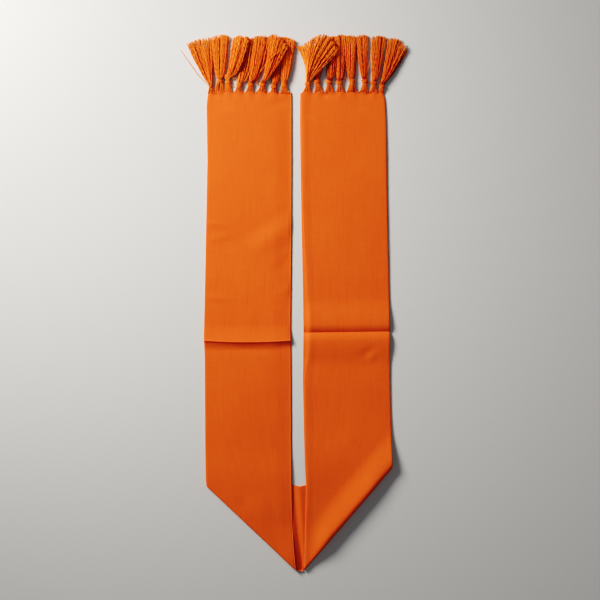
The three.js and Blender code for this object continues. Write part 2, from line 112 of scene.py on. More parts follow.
class Graph:
    # a node tree being built, of a material or of Geometry Nodes
    def __init__(self, tree):
        self.tree = tree

    def feed(self, socket, value):
        if isinstance(value, Wire):
            self.tree.links.new(value.socket, socket)
        else:
            socket.default_value = value

    def node(self, kind, settings=None, inputs=None, output=0):
        # a node's type, its settings, and the values or links of its sockets
        made = self.tree.nodes.new(kind)
        for name, value in (settings or {}).items():
            setattr(made, name, value)
        for key, value in (inputs or {}).items():
            self.feed(made.inputs[key], value)
        return Wire(self, made.outputs[output])

    def math(self, operation, *values):
        return self.node("ShaderNodeMath", {"operation": operation}, dict(enumerate(values)))

    def mixColour(self, factor, a, b):
        # a Mix node takes its colours at inputs 6 and 7, and gives one at output 2
        return self.node("ShaderNodeMix", {"data_type": "RGBA"}, {0: factor, 6: a, 7: b}, 2)

    def ease(self, value, low, high):
        # 0 at low, 1 at high, and smooth between them
        settings = {"interpolation_type": "SMOOTHSTEP"}
        return self.node("ShaderNodeMapRange", settings, {0: value, 1: low, 2: high})

    def combine(self, x, y, z):
        return self.node("ShaderNodeCombineXYZ", None, {0: x, 1: y, 2: z})

    def separate(self, vector):
        made = self.node("ShaderNodeSeparateXYZ", None, {0: vector}).socket.node
        return [Wire(self, made.outputs[axis]) for axis in range(3)]

    def objectPlace(self):
        return self.node("ShaderNodeTexCoord", output=3)

    def attribute(self, name):
        return self.node("ShaderNodeAttribute", {"attribute_name": name}, None, 2)


def newMaterial(name):
    material = bpy.data.materials.new(name)
    material.use_nodes = True
    graph = Graph(material.node_tree)
    shader = material.node_tree.nodes["Principled BSDF"]
    return material, graph, shader


def setGloss(shader, finish):
    # what is the same all over a surface
    shader.inputs["Sheen Weight"].default_value = finish["sheen"]
    shader.inputs["Sheen Roughness"].default_value = finish["sheenRoughness"]
    shader.inputs["Sheen Tint"].default_value = finish["sheenTint"]
    shader.inputs["Specular IOR Level"].default_value = finish["specular"]


weave = {
    "colour": (0.80, 0.140, 0.040, 1),       # saffron orange
    # darker yarns, and the painted shade along the frayed end
    "deep": (0.58, 0.072, 0.020, 1),
    "light": (0.92, 0.24, 0.06, 1),
    # pale pink of the selvedge, used also for its painted rim highlight
    "selvedge": (0.94, 0.25, 0.13, 1),
    "pitch": 0.0007,                         # of the yarns, both ways
    "weaveDepth": 0.00010,
    # uneven yarns: noise scale across and along the cloth, its detail, and their share in the colour
    "warpSlub": {"across": 700, "along": 26, "detail": 2, "share": 0.45, "depth": 0.00012},
    "warpBand": {"across": 170, "along": 7, "detail": 3, "share": 0.2},
    "weftSlub": {"across": 30, "along": 600, "detail": 2, "share": 0.35, "depth": 0.000084},
    # dark marks where the noise is high enough; near the tasselled end they are partly frayed warp and partly
    # painted shade
    "hairlines": {"across": 430, "along": 14, "detail": 1, "share": 0.16, "from": 0.60, "full": 0.74},
    "frayAndShade": {"across": 420, "along": 120, "detail": 1, "share": 0.9, "from": 0.45, "full": 0.65},
    "frayShadeReach": 0.006,                    # in from the tasselled end
    "slubStrength": 0.85,
    "noiseRoughness": 0.6,
    "mottle": 0.22,
    "mottleScale": 9.0,
    "mottleDetail": 4.0,
    "roughness": 0.78,
    "roughnessRange": 0.16,
    "selvedgeWidth": 0.0013,
    "paleness": 0.28,                        # of the selvedge, partly its own paler weave and partly painted highlight on its lip, and of its painted rim highlight at the neck
    "rimHighlightPaleness": 1.0,
    "rimHighlightWidening": 1.5,
    "bump": 0.55,
    "sheen": 0.08,
    "sheenRoughness": 0.45,
    "sheenTint": (1.0, 0.40, 0.12, 1),
    "specular": 0.16,
}


def clothMaterial():
    material, g, shader = newMaterial("saffronWeave")
    across, along, _ = g.separate(g.node("ShaderNodeUVMap", {"uv_map": "cloth"}))

    # plain weave: warp and weft lie on top in turn
    pitch = weave["pitch"]
    warp = (across * (math.pi / pitch)).math("SINE").math("ABSOLUTE")
    weft = (along * (math.pi / pitch)).math("SINE").math("ABSOLUTE")
    turn = ((across / pitch).math("FLOOR") + (along / pitch).math("FLOOR")).math("MODULO", 2).math("ABSOLUTE")
    yarns = mixed(weft, warp, turn)

    def streaks(name):
        kind = weave[name]
        place = g.combine(across * kind["across"], along * kind["along"], 0.0)
        return g.node("ShaderNodeTexNoise", {"noise_dimensions": "2D"},
                      {"Vector": place, "Scale": 1.0, "Detail": kind["detail"],
                       "Roughness": weave["noiseRoughness"]})

    def marks(name):
        return g.ease(streaks(name), weave[name]["from"], weave[name]["full"]) * weave[name]["share"]

    # uneven yarns, long along the warp and weaker along the weft
    warpSlub = streaks("warpSlub")
    warpBand = streaks("warpBand")
    weftSlub = streaks("weftSlub")
    slubs = (warpSlub * weave["warpSlub"]["share"] + warpBand * weave["warpBand"]["share"]
             + weftSlub * weave["weftSlub"]["share"])
    place = g.objectPlace()
    mottle = g.node("ShaderNodeTexNoise", None,
                    {"Vector": place, "Scale": weave["mottleScale"], "Detail": weave["mottleDetail"]})
    tone = (slubs - 0.5) * weave["slubStrength"] + (mottle - 0.5) * weave["mottle"]
    tone = tone - marks("hairlines")
    # darker near the tasselled end: partly frayed warp, partly painted shade of the dips between the tents
    tone = tone - g.ease(g.attribute("toEnd"), weave["frayShadeReach"], 0.0) * marks("frayAndShade")
    darker = (-tone).math("MAXIMUM", 0.0)
    lighter = tone.math("MAXIMUM", 0.0)
    colour = g.mixColour(darker.math("MINIMUM", 1.0), weave["colour"], weave["deep"])
    colour = g.mixColour(lighter.math("MINIMUM", 1.0), colour, weave["light"])

    # the selvedge is paler, partly its own weave and partly painted highlight on its lip; near the neck a
    # painted rim highlight makes it paler and wider
    rimHighlight = g.attribute("rimHighlight")
    width = (rimHighlight * weave["rimHighlightWidening"] + 1) * weave["selvedgeWidth"]
    lip = g.ease(g.attribute("toSelvedge"), width, 0.0)
    paleness = mixed(weave["paleness"], weave["rimHighlightPaleness"], rimHighlight)
    colour = g.mixColour(lip * paleness, colour, weave["selvedge"])
    g.feed(shader.inputs["Base Color"], colour)
    g.feed(shader.inputs["Roughness"], weave["roughness"] + (warpSlub - 0.5) * weave["roughnessRange"])

    height = (yarns * weave["weaveDepth"] + warpSlub * weave["warpSlub"]["depth"]
              + weftSlub * weave["weftSlub"]["depth"])
    bump = g.node("ShaderNodeBump", None, {"Strength": weave["bump"], "Distance": 1.0, "Height": height})
    g.feed(shader.inputs["Normal"], bump)
    setGloss(shader, weave)
    return material


yarn = {
    "colour": (0.90, 0.195, 0.044, 1),
    # deep red of darker yarns and of the painted shade inside a tassel
    "deep": (0.40, 0.036, 0.012, 1),
    "tip": (0.97, 0.33, 0.090, 1),
    "innerShade": 0.75,              # painted shade inside a tassel
    "innerDepth": 0.75,              # where it has gone, 1 being the outermost layer
    "toneRange": 1.1,                # from one yarn to another
    "tipFrom": 0.40,                 # where a yarn begins to turn pale
    "tipPaleness": (0.15, 0.75),     # of the darkest and the lightest yarn
    "fuzz": 0.25,
    "fuzzScale": 240.0,
    "fuzzDetail": 3.0,
    "fuzzFrom": 0.45,
    "fuzzFull": 0.7,
    "fibre": 0.00012,
    "fibreScale": 2600.0,
    "fibreDetail": 2.0,
    "roughness": 0.68,
    "roughnessRange": 0.2,
    "bump": 0.5,
    "sheen": 0.05,
    "sheenRoughness": 0.4,
    "sheenTint": (1.0, 0.40, 0.10, 1),
    "specular": 0.12,
}


def yarnMaterial():
    material, g, shader = newMaterial("saffronYarn")
    along, tone, depth, faded = [g.attribute(name) for name in ("along", "tone", "depth", "faded")]
    place = g.objectPlace()
    fibre = g.node("ShaderNodeTexNoise", None,
                   {"Vector": place, "Scale": yarn["fibreScale"], "Detail": yarn["fibreDetail"]})
    fuzz = g.node("ShaderNodeTexNoise", None,
                  {"Vector": place, "Scale": yarn["fuzzScale"], "Detail": yarn["fuzzDetail"]})

    # painted shade: darker in a tassel's lower layers and where its yarns come out of the knot
    inner = g.ease(depth, yarn["innerDepth"], 0.0) * yarn["innerShade"]
    # per tassel, painted light above 0 lightens and pales the yarns, painted shade below 0 darkens them
    shade = inner + (0.5 - tone) * yarn["toneRange"] - faded
    colour = g.mixColour(shade.math("MAXIMUM", 0.0), yarn["colour"], yarn["deep"])
    colour = g.mixColour(faded.math("MAXIMUM", 0.0), colour, yarn["tip"])
    atTip = g.ease(along, yarn["tipFrom"], 1.0) * mixed(*yarn["tipPaleness"], tone)
    colour = g.mixColour(atTip, colour, yarn["tip"])
    colour = g.mixColour(g.ease(fuzz, yarn["fuzzFrom"], yarn["fuzzFull"]) * yarn["fuzz"], colour, yarn["tip"])
    g.feed(shader.inputs["Base Color"], colour)
    g.feed(shader.inputs["Roughness"], yarn["roughness"] + (fibre - 0.5) * yarn["roughnessRange"])
    bump = g.node("ShaderNodeBump", None,
                  {"Strength": yarn["bump"], "Distance": 1.0, "Height": fibre * yarn["fibre"]})
    g.feed(shader.inputs["Normal"], bump)
    setGloss(shader, yarn)
    return material


saffronWeave = clothMaterial()
saffronYarn = yarnMaterial()
print("finishes made")


# straight above the stole
view = {
    "aimX": 0.000935 + middleX,
    "aimY": 0.50864 + lowestY,
    "aimHeight": 0.003,
    "field": 1.122,                   # width and height that it takes in at that height
    "lens": 85,
    "sensor": 36,
    "farthest": 20,
}


def addCamera():
    data = bpy.data.cameras.new("camera")
    data.lens = view["lens"]
    data.sensor_width = view["sensor"]
    data.clip_end = view["farthest"]
    camera = bpy.data.objects.new("camera", data)
    distance = view["field"] * view["lens"] / view["sensor"]
    camera.location = (view["aimX"], view["aimY"], view["aimHeight"] + distance)
    scene.collection.objects.link(camera)
    scene.camera = camera


light = {
    "keyFrom": (-1.42, 1.16, 0.95),   # upper left, low enough to rake the creases
    "keyAim": (-0.13, 0.22, 0.0),
    "keySize": 0.80,
    "keyPower": 18.9,
    "keySpread": 95,
    "keyColour": (1.0, 0.97, 0.93),
    "fillFrom": (0.5, 0.3, 2.6),
    "fillSoftness": 50,               # degrees that it spans
    "fillStrength": 0.20,
    "sky": (0.82, 0.87, 0.95, 1),
    "skyStrength": 0.14,
    "floor": (0.62, 0.61, 0.59, 1),
    "floorRoughness": 0.9,
    "floorSpecular": 0.1,
    "floorSize": 16,
    "floorDrop": 0.0001,
    # a soft S, as film has: deeper shadows and held highlights
    "tone": [(0.0, 0.0), (0.05, 0.013), (0.09, 0.058), (0.165, 0.165), (0.50, 0.56),
             (0.70, 0.70), (0.92, 0.80), (1.0, 0.835)],
}


def addKey():
    data = bpy.data.lights.new("key", "AREA")
    data.shape = "DISK"
    data.size = light["keySize"]
    data.energy = light["keyPower"]
    data.color = light["keyColour"]
    data.spread = math.radians(light["keySpread"])
    lamp = bpy.data.objects.new("key", data)
    lamp.location = light["keyFrom"]
    aim = Vector(light["keyAim"]) - Vector(light["keyFrom"])
    lamp.rotation_euler = aim.to_track_quat("-Z", "Y").to_euler()
    scene.collection.objects.link(lamp)


def addFill():
    data = bpy.data.lights.new("fill", "SUN")
    data.energy = light["fillStrength"]
    data.angle = math.radians(light["fillSoftness"])
    lamp = bpy.data.objects.new("fill", data)
    lamp.rotation_euler = Vector(light["fillFrom"]).to_track_quat("Z", "Y").to_euler()
    scene.collection.objects.link(lamp)


def setTone():
    settings = scene.view_settings
    settings.view_transform = "Standard"
    settings.use_curve_mapping = True
    curve = settings.curve_mapping.curves[3]      # the one for all three colours
    stops = light["tone"]
    while len(curve.points) < len(stops):
        curve.points.new(0.5, 0.5)
    for point, stop in zip(curve.points, stops):
        point.location = stop
        point.handle_type = "AUTO_CLAMPED"
    settings.curve_mapping.update()


def addFloor():
    material, _, shader = newMaterial("paleFloor")
    shader.inputs["Base Color"].default_value = light["floor"]
    shader.inputs["Roughness"].default_value = light["floorRoughness"]
    shader.inputs["Specular IOR Level"].default_value = light["floorSpecular"]
    half = light["floorSize"] / 2
    mesh = bpy.data.meshes.new("floor")
    corners = [(-half, -half), (half, -half), (half, half), (-half, half)]
    mesh.from_pydata([(x, y, -light["floorDrop"]) for x, y in corners], [], [(0, 1, 2, 3)])
    mesh.materials.append(material)
    addPiece("floor", mesh)


def addStudio():
    addKey()
    addFill()
    world = bpy.data.worlds.new("studio")
    world.use_nodes = True
    background = world.node_tree.nodes["Background"]
    background.inputs["Color"].default_value = light["sky"]
    background.inputs["Strength"].default_value = light["skyStrength"]
    scene.world = world
    setTone()
    addFloor()


addCamera()
addStudio()
print("camera, lights and floor made")


# the strip of cloth, two plies thick, and how it lies
cloth = {
    "thickness": 0.0006,
    "lowPly": 0.0003,          # height of the lower ply's middle
    "plyGap": 0.0021,          # between the middles of the two plies
    "turnRadius": 0.00095,     # of the folded edge
    "turnSteps": 7,
    "topSpans": 46,
    "underSpans": 22,
    "edgeSpans": 9,            # finer spans in the last stretch before the upper ply's open edge
    "edgeStretch": 0.009,
    "keptLift": 0.0009,        # swells lower than this are only in the upper ply
    "edgeFlat": 0.006,         # and fade out this far before its open edge
    "stripFade": 0.016,        # how far under the upper ply the lower one's slope goes on
    "leastGap": 1.05,          # between the plies' middles, in thicknesses
    "foldGap": 0.0009,         # the same under the slanting fold, where the upper ply is the lowest
    "rumple": 0.0006,
    "rumpleSize": 0.085,
    # its slow and its quick part: scales along x and y, shift of the seed, share
    "rumpleParts": [(1.0, 0.7, 0, 1.0), (2.6, 2.1, 5, 0.35)],
    # puffed fold: its height at the fold itself, how it falls off, how fast it rises from the V's tip,
    # and what is left of it at the outer corner
    "puffEdge": 0.80,
    "puffFall": 0.8,
    "puffRise": 3.6,
    "puffCorner": 0.7,
    "pressWidth": 0.0022,      # of the small step at a pressed crease
    "pressPast": 0.0006,
    "valleyRound": 0.8,
    # uneven open edges
    "wobble": 0.0005,
    "wobbleSize": 0.035,
    "upperWobble": 2.5,        # seeds
    "lowerWobble": 7.5,
    "leastPeek": 0.0002,
    "wobblyPeek": 0.0020,      # where the lower ply peeks out this far, the upper edge wobbles in full
    "rimHighlightTo": 0.095,           # height up the column where the selvedge's painted rim highlight ends, and how far it takes to fade out
    "rimHighlightFade": 0.030,
}

# the neck stretch's upper edge
neckTop = {"x": [-0.180, -0.016, -0.0116, -0.0004, 0.0103, 0.016, 0.170],
           "y": [0.1608, 0.1608, 0.1625, 0.1597, 0.1618, 0.1612, 0.191]}

leftColumn = {
    "side": -1,
    "rimHighlight": 1.0,               # how strong the painted rim highlight on its selvedge is at the neck
    # height up the column, its edges' distances from the middle line, and how far the lower ply peeks out
    "y": [0, 0.022, 0.050, 0.097, 0.1592, 0.165, 0.175, 0.230, 0.400, 0.443, 0.500, 0.600, 0.770, 0.870,
          0.890, 0.8985],
    "outer": [0.1731, 0.1731, 0.1731, 0.1731, 0.1731, 0.1740, 0.1748, 0.1760, 0.1770, 0.1787, 0.1772, 0.1753,
              0.1720, 0.1736, 0.1720, 0.1695],
    "inner": [0.0058, 0.0082, 0.0107, 0.0128, 0.0139, 0.0140, 0.0141, 0.0144, 0.0152, 0.0160, 0.0153, 0.0144,
              0.0135, 0.0137, 0.0140, 0.0148],
    "peek": [0.0003, 0.0003, 0.0005, 0.0009, 0.0011, 0.0011, 0.0011, 0.0012, 0.0011, 0.0011, 0.0011, 0.0010,
             0.0010, 0.0010, 0.0009, 0.0008],
    # the slanting fold: the heights of its ends, its rounded nose, and the puffed swell above it.
    # further up the rows turn, and are level from here
    "fold": {"cornerY": 0.1592, "apexY": 0.0019, "noseRadius": 0.0032, "noseDepth": 0.0044,
             "puff": 0.0004, "crest": 0.014, "reach": 0.044, "levelFrom": 0.300},
    # how high it lies over the neck stretch, and how it comes down to the floor beyond it
    "over": {"height": 0.0024, "start": 0.004, "length": 0.075},
    "creases": [
        # packing ridge, bowed a little
        {"x0": 0.184, "y0": 0.4330, "x1": 0.014, "y1": 0.4330, "height": 0.0047, "above": 0.031,
         "below": 0.017, "sharp": 1.5, "step": 0.26, "fade": 0, "bow": -0.0030},
        # slanting ruck
        {"x0": 0.116, "y0": 0.590, "x1": -0.036, "y1": 0.686, "height": 0.0020, "above": 0.030,
         "below": 0.036, "sharp": 0, "fade": 0.42, "bow": 0},
    ],
    "valleys": [],
    "dents": [
        # x, y, half length, half width, turn in degrees, height
        (0.158, 0.650, 0.017, 0.0060, 6, 0.0008),
        (0.150, 0.625, 0.020, 0.0070, -14, 0.0007),
        (0.156, 0.512, 0.026, 0.0060, 2, 0.0008),
        (0.098, 0.4195, 0.044, 0.0085, 2, -0.0010),
        (0.028, 0.4235, 0.020, 0.0060, -4, -0.0007),
        (0.020, 0.528, 0.022, 0.0110, -22, 0.0009),
        (0.030, 0.572, 0.026, 0.0120, -30, -0.0008),
        (0.060, 0.640, 0.045, 0.0160, -24, -0.0008),
        (0.074, 0.116, 0.030, 0.0160, 60, 0.0013),
        (0.106, 0.128, 0.012, 0.0090, 30, -0.0007),
        (0.027, 0.088, 0.016, 0.0090, 50, -0.0008),
        (0.120, 0.300, 0.060, 0.0300, 80, 0.0006),
        (0.160, 0.890, 0.014, 0.0060, 10, -0.0012),
        (0.036, 0.876, 0.022, 0.0080, -6, -0.0009),
        (0.148, 0.876, 0.016, 0.0070, 8, -0.0007),
        (0.0060, 0.024, 0.046, 0.0240, 84, 0.0052),
    ],
    # the upper ply's open edge: how it comes down to the lower ply, its rolled lip, and how high the
    # lower ply's bare strip lies beside it
    "edge": {"gap": 0.00066, "settle": 0.034, "steep": 0, "lip": 0.0006, "lipWidth": 0.0017, "strip": 0.0},
    "nicks": [],
    "seed": 3.7,
}

rightColumn = {
    "side": 1,
    "rimHighlight": 0.4,
    "y": [0, 0.022, 0.097, 0.161, 0.200, 0.266, 0.359, 0.400, 0.452, 0.527, 0.612, 0.714, 0.845, 0.882, 0.892,
          0.8985],
    "outer": [0.1730, 0.1730, 0.1730, 0.1730, 0.1730, 0.1711, 0.1692, 0.1690, 0.1688, 0.1674, 0.1655, 0.1636,
              0.1618, 0.1599, 0.1582, 0.1565],
    "inner": [0.0075, 0.0090, 0.0103, 0.0122, 0.0103, 0.0084, 0.0065, 0.0069, 0.0075, 0.0065, 0.0047, 0.0028,
              0.0009, 0.0012, 0.0015, 0.0019],
    "peek": [0.0012, 0.0012, 0.0014, 0.0016, 0.0017, 0.0018, 0.0018, 0.0058, 0.0075, 0.0060, 0.0035, 0.0020,
             0.0015, 0.0015, 0.0012, 0.0010],
    "fold": {"cornerY": 0.1945, "apexY": 0.0019, "noseRadius": 0.0034, "noseDepth": 0.0046,
             "puff": 0.0104, "crest": 0.0065, "reach": 0.051, "levelFrom": 0.330},
    "over": {"height": 0.0034, "start": 0.004, "length": 0.110},
    "creases": [],
    "valleys": [
        # packing valley: its line, the heights and the reaches of its two lips
        {"x0": 0.0, "y0": 0.4476, "x1": 0.176, "y1": 0.4498, "height": 0.0042, "above": 0.014, "below": 0.016,
         "fall": 0.050},
    ],
    "dents": [
        (0.075, 0.176, 0.055, 0.0340, 45, -0.0014),
        (0.128, 0.412, 0.016, 0.0070, 30, -0.0009),
        (0.136, 0.402, 0.010, 0.0060, 60, 0.0006),
        (0.100, 0.250, 0.060, 0.0300, 85, 0.0006),
        (0.060, 0.640, 0.060, 0.0280, 88, 0.0004),
        (0.052, 0.892, 0.012, 0.0050, 0, -0.0010),
        (0.124, 0.892, 0.010, 0.0050, 0, -0.0009),
    ],
    "edge": {"gap": 0.00066, "settle": 0.014, "steep": 1, "lip": 0.0, "lipWidth": 0.0013, "strip": 0.0014},
    # small tears and puckers of the inner edge: height up the column, half length, depth
    "nicks": [(0.5240, 0.0050, 0.0036), (0.3558, 0.0034, 0.0036), (0.4700, 0.0040, 0.0010)],
    "seed": 8.2,
}


def foldLine(column):
    # the slanting fold at a column's foot: its line, how far above it a place is, and how far along it
    fold = column["fold"]
    corner = np.array([np.interp(fold["cornerY"], column["y"], column["outer"]), fold["cornerY"]])
    apex = np.array([np.interp(fold["apexY"], column["y"], column["inner"]), fold["apexY"]])
    run = corner - apex
    slant = run[0] / math.hypot(*run)

    def yAt(x):
        return apex[1] + (x - apex[0]) * run[1] / run[0]

    return {"yAt": yAt, "slant": slant,
            "distance": lambda x, y: (y - yAt(x)) * slant,
            "share": lambda x: np.clip((x - apex[0]) / run[0], 0, 1)}


def rumpleAt(x, y, seed):
    # slow unevenness of cloth that was folded away and shaken out
    size = cloth["rumpleSize"]
    values = []
    for px, py in zip(np.ravel(x), np.ravel(y)):
        total = 0.0
        for scaleX, scaleY, shift, share in cloth["rumpleParts"]:
            total += share * noise.noise(Vector((px / size * scaleX, py / size * scaleY, seed + shift)))
        values.append(total)
    return np.array(values).reshape(np.shape(x)) * cloth["rumple"]


def puffLift(fold, line, x, y):
    distance = np.maximum(line["distance"](x, y), fold["noseRadius"])
    rise = mixed(cloth["puffEdge"], 1, smooth(distance / fold["crest"]))
    past = np.clip((distance - fold["crest"]) / (fold["reach"] - fold["crest"]), 0, 1)
    fall = 1 - smooth(past ** cloth["puffFall"])
    share = line["share"](x)
    corner = mixed(1, cloth["puffCorner"], smooth(share * 4 - 3))     # over the last quarter
    return fold["puff"] * rise * fall * smooth(share * cloth["puffRise"]) * corner


def creaseLift(crease, x, y):
    runX, runY = crease["x1"] - crease["x0"], crease["y1"] - crease["y0"]
    length = math.hypot(runX, runY)
    along = ((x - crease["x0"]) * runX + (y - crease["y0"]) * runY) / length ** 2
    beside = (runX * (y - crease["y0"]) - runY * (x - crease["x0"])) / length * np.sign(runX)
    beside = beside - crease["bow"] * np.sin(math.pi * np.clip(along, 0, 1))
    away = np.clip(np.abs(beside) / np.where(beside > 0, crease["above"], crease["below"]), 0, 1)
    if crease["sharp"]:
        # pressed: a sharp ridge with a small step at its crest
        step = np.clip(1 - np.abs(beside) / cloth["pressWidth"], 0, 1) * (beside < cloth["pressPast"])
        profile = (1 - away) ** crease["sharp"] + crease["step"] * step
    else:
        profile = 1 - smooth(away)
    ends = 1.0
    if crease["fade"]:
        ends = smooth(along / crease["fade"]) * smooth((1 - along) / crease["fade"])
    return crease["height"] * profile * ends


def valleyLift(valley, x, y):
    lineY = mixed(valley["y0"], valley["y1"], (x - valley["x0"]) / (valley["x1"] - valley["x0"]))
    beside = y - lineY
    lip = np.where(beside > 0, valley["above"], valley["below"])
    far = np.abs(beside)
    inside = np.sin(math.pi / 2 * np.clip(far / lip, 0, 1)) ** cloth["valleyRound"]
    outside = 1 - smooth((far - lip) / valley["fall"])
    return valley["height"] * np.where(far < lip, inside, outside)


def dentLift(dent, x, y):
    dentX, dentY, halfLength, halfWidth, turn, height = dent
    c, s = math.cos(math.radians(turn)), math.sin(math.radians(turn))
    u = ((x - dentX) * c + (y - dentY) * s) / halfLength
    v = (-(x - dentX) * s + (y - dentY) * c) / halfWidth
    return height * np.exp(-(u * u + v * v))


def liftAt(column, line, x, y):
    # everything that raises or lowers the upper ply
    lift = puffLift(column["fold"], line, x, y)
    for crease in column["creases"]:
        lift = lift + creaseLift(crease, x, y)
    for valley in column["valleys"]:
        lift = lift + valleyLift(valley, x, y)
    for dent in column["dents"]:
        lift = lift + dentLift(dent, x, y)
    return lift


# where the tassels gather the cloth's end
gathered = {
    "ridgeReach": 0.022,       # how far in the small ridges go
    "ridgeWidth": 0.42,        # in widths of the tassel's root
    "ridgeLevel": 0.55,
    "ridgeHeight": 0.0019,
    "endReach": 0.016,         # how far in the end is drawn up
    "endWidth": 0.46,
    "hang": 0.0024,            # how far it hangs back between the tassels
    "out": 0.0006,
    "ragged": 0.0013,
    "raggedSize": 0.004,
}


def tasselPull(column, x, y):
    # small ridges where each tassel gathers the warp
    pull = np.zeros_like(x)
    near = np.clip(1 - (clothEnd - y) / gathered["ridgeReach"], 0, 1) ** 2
    for row in column["tassels"]:
        beside = (x - abs(row["rootX"])) / (row["rootWidth"] * gathered["ridgeWidth"])
        pull = pull + np.exp(-beside ** 2)
    return (pull - gathered["ridgeLevel"]) * near * gathered["ridgeHeight"]


def endShape(column, x, y):
    # the cloth's end, drawn up by each tassel and hanging back between them
    near = smooth(1 - (clothEnd - y) / gathered["endReach"])
    pull = np.zeros_like(x)
    for row in column["tassels"]:
        beside = (x - abs(row["rootX"])) / (row["rootWidth"] * gathered["endWidth"])
        pull = np.maximum(pull, np.exp(-beside ** 4))
    size = gathered["raggedSize"]
    ragged = np.array([noise.noise(Vector((px / size, column["seed"], 1.0))) for px in np.ravel(x)])
    ragged = ragged.reshape(np.shape(x)) * gathered["ragged"]
    return near * ((pull - 1) * gathered["hang"] + gathered["out"] + ragged)


def edgeWobble(column, y, which):
    return cloth["wobble"] * noise.noise(Vector((y / cloth["wobbleSize"], column["seed"], which)))


def columnHeights(column, line, x, y, toOpen):
    # middles of the upper and lower ply; toOpen is the distance to the upper ply's open edge
    edge = column["edge"]
    lift = liftAt(column, line, x, y) + rumpleAt(x, y, column["seed"]) + tasselPull(column, x, y)
    neckEdge = np.interp(column["side"] * x, neckTop["x"], neckTop["y"])
    over = column["over"]
    base = over["height"] * (1 - smooth((y - neckEdge - over["start"]) / over["length"]))
    # the lower ply's bare strip slopes down to its own edge
    shown = (1 - smooth(toOpen / cloth["stripFade"])) * smooth(1 + toOpen / cloth["edgeFlat"])
    low = base + cloth["lowPly"] + np.maximum(0, lift - cloth["keptLift"]) + edge["strip"] * shown
    way = np.clip(toOpen / edge["settle"], 0, 1)
    gap = mixed(edge["gap"], cloth["plyGap"], mixed(smooth(way), 1 - (1 - way) ** 2, edge["steep"]))
    gap = gap + edge["lip"] * np.exp(-(toOpen / edge["lipWidth"]) ** 2)
    flatLift = np.minimum(lift, cloth["keptLift"]) * smooth(toOpen / cloth["edgeFlat"])
    high = low + np.maximum(gap + flatLift, cloth["thickness"] * cloth["leastGap"])
    return high, low


def stripSheet(name, rows, material):
    # rows of points, each from one open edge over the folded edge to the other, made a thin sheet.
    # its material reads how far the selvedge and the cloth's end are, and how strong the selvedge's painted
    # rim highlight is
    points = np.array([row["points"] for row in rows])
    count, ring = points.shape[:2]
    points = points + np.array([middleX, lowestY, 0.0])
    index = np.arange(count * ring).reshape(count, ring)
    faces = np.stack([index[:-1, :-1], index[:-1, 1:], index[1:, 1:], index[1:, :-1]], -1).reshape(-1, 4)
    mesh = bpy.data.meshes.new(name)
    mesh.from_pydata(points.reshape(-1, 3).tolist(), [], faces.tolist())
    uv = np.array([row["uv"] for row in rows]).reshape(-1, 2)
    loops = np.array([loop.vertex_index for loop in mesh.loops])
    mesh.uv_layers.new(name="cloth").data.foreach_set("uv", uv[loops].astype(np.float32).ravel())
    for fact in ("toSelvedge", "toEnd", "rimHighlight"):
        values = np.array([np.broadcast_to(row[fact], ring) for row in rows]).ravel().astype(np.float32)
        mesh.attributes.new(fact, "FLOAT", "POINT").data.foreach_set("value", values)
    mesh.materials.append(material)
    mesh.shade_smooth()
    sheet = addPiece(name, mesh)
    wall = sheet.modifiers.new("wall", "SOLIDIFY")
    wall.thickness = cloth["thickness"]
    wall.offset = 0
    return sheet


def acrossPlaces(width):
    # places across a ply, as distances from the folded edge, finer before the open edge
    fine = np.linspace(width - cloth["edgeStretch"], width, cloth["edgeSpans"] + 1)
    coarse = np.linspace(cloth["turnRadius"], width - cloth["edgeStretch"], cloth["topSpans"] + 1)
    return np.concatenate([coarse[:-1], fine])


def ringFrom(folded, opened, peek, upper, lower):
    # one row: the upper ply from its open edge in, round the fold, and the lower ply out again
    width = np.linalg.norm(opened - folded)
    outward = (folded - opened) / width
    places = acrossPlaces(width - peek)[::-1]
    underPlaces = np.concatenate([
        np.linspace(cloth["turnRadius"], width - cloth["edgeStretch"], cloth["underSpans"] + 1),
        np.linspace(width - cloth["edgeStretch"], width, cloth["edgeSpans"] + 1)[1:]])
    top = upper(places)
    under = lower(underPlaces)
    steps = np.arange(1, cloth["turnSteps"]) / cloth["turnSteps"]
    swing = (1 - np.cos(math.pi * steps)) / 2
    turn = top[-1] + (under[0] - top[-1]) * swing[:, None]
    turn[:, :2] += outward * (cloth["turnRadius"] * np.sin(math.pi * steps))[:, None]
    points = np.vstack([top, turn, under])
    turnLength = math.pi * cloth["turnRadius"]
    acrossU = np.concatenate([width - places, width + turnLength * steps, width + turnLength + underPlaces])
    # the turn counts as far from any selvedge
    toSelvedge = np.concatenate([places[0] - places, np.full(len(steps), 1.0), width - underPlaces])
    return points, acrossU, toSelvedge


# where the rows of a column's mesh lie, in their order
rowPlan = {
    "underneath": (1, 0.5),    # shares of the way in under the slanting fold
    "noseSteps": 10,           # round its nose
    "lowerInset": 0.45,        # how far the lower ply follows the nose
    "slantStart": 0.0012,
    "slantStep": 0.0028,       # along the slanting stretch, up to a little past its swell
    "slantPast": 0.004,
    "turning": 46,             # rows that turn level
    # level rows: steps, and how near to a crease they hold
    "fine": 0.0009,
    "fineWithin": 0.006,
    "middling": 0.0018,
    "middlingWithin": 0.020,
    "coarse": 0.0032,
    "endReach": 0.012,         # they are closer by this much in the last stretch before the cloth's end
    "endCloser": 0.0016,
    "endLast": 0.0012,
    "refining": 12,
}


def levelStep(y, crossings):
    near = min(abs(y - crossing) for crossing in crossings)
    if near < rowPlan["fineWithin"]:
        return rowPlan["fine"]
    if near < rowPlan["middlingWithin"]:
        return rowPlan["middling"]
    return rowPlan["coarse"]


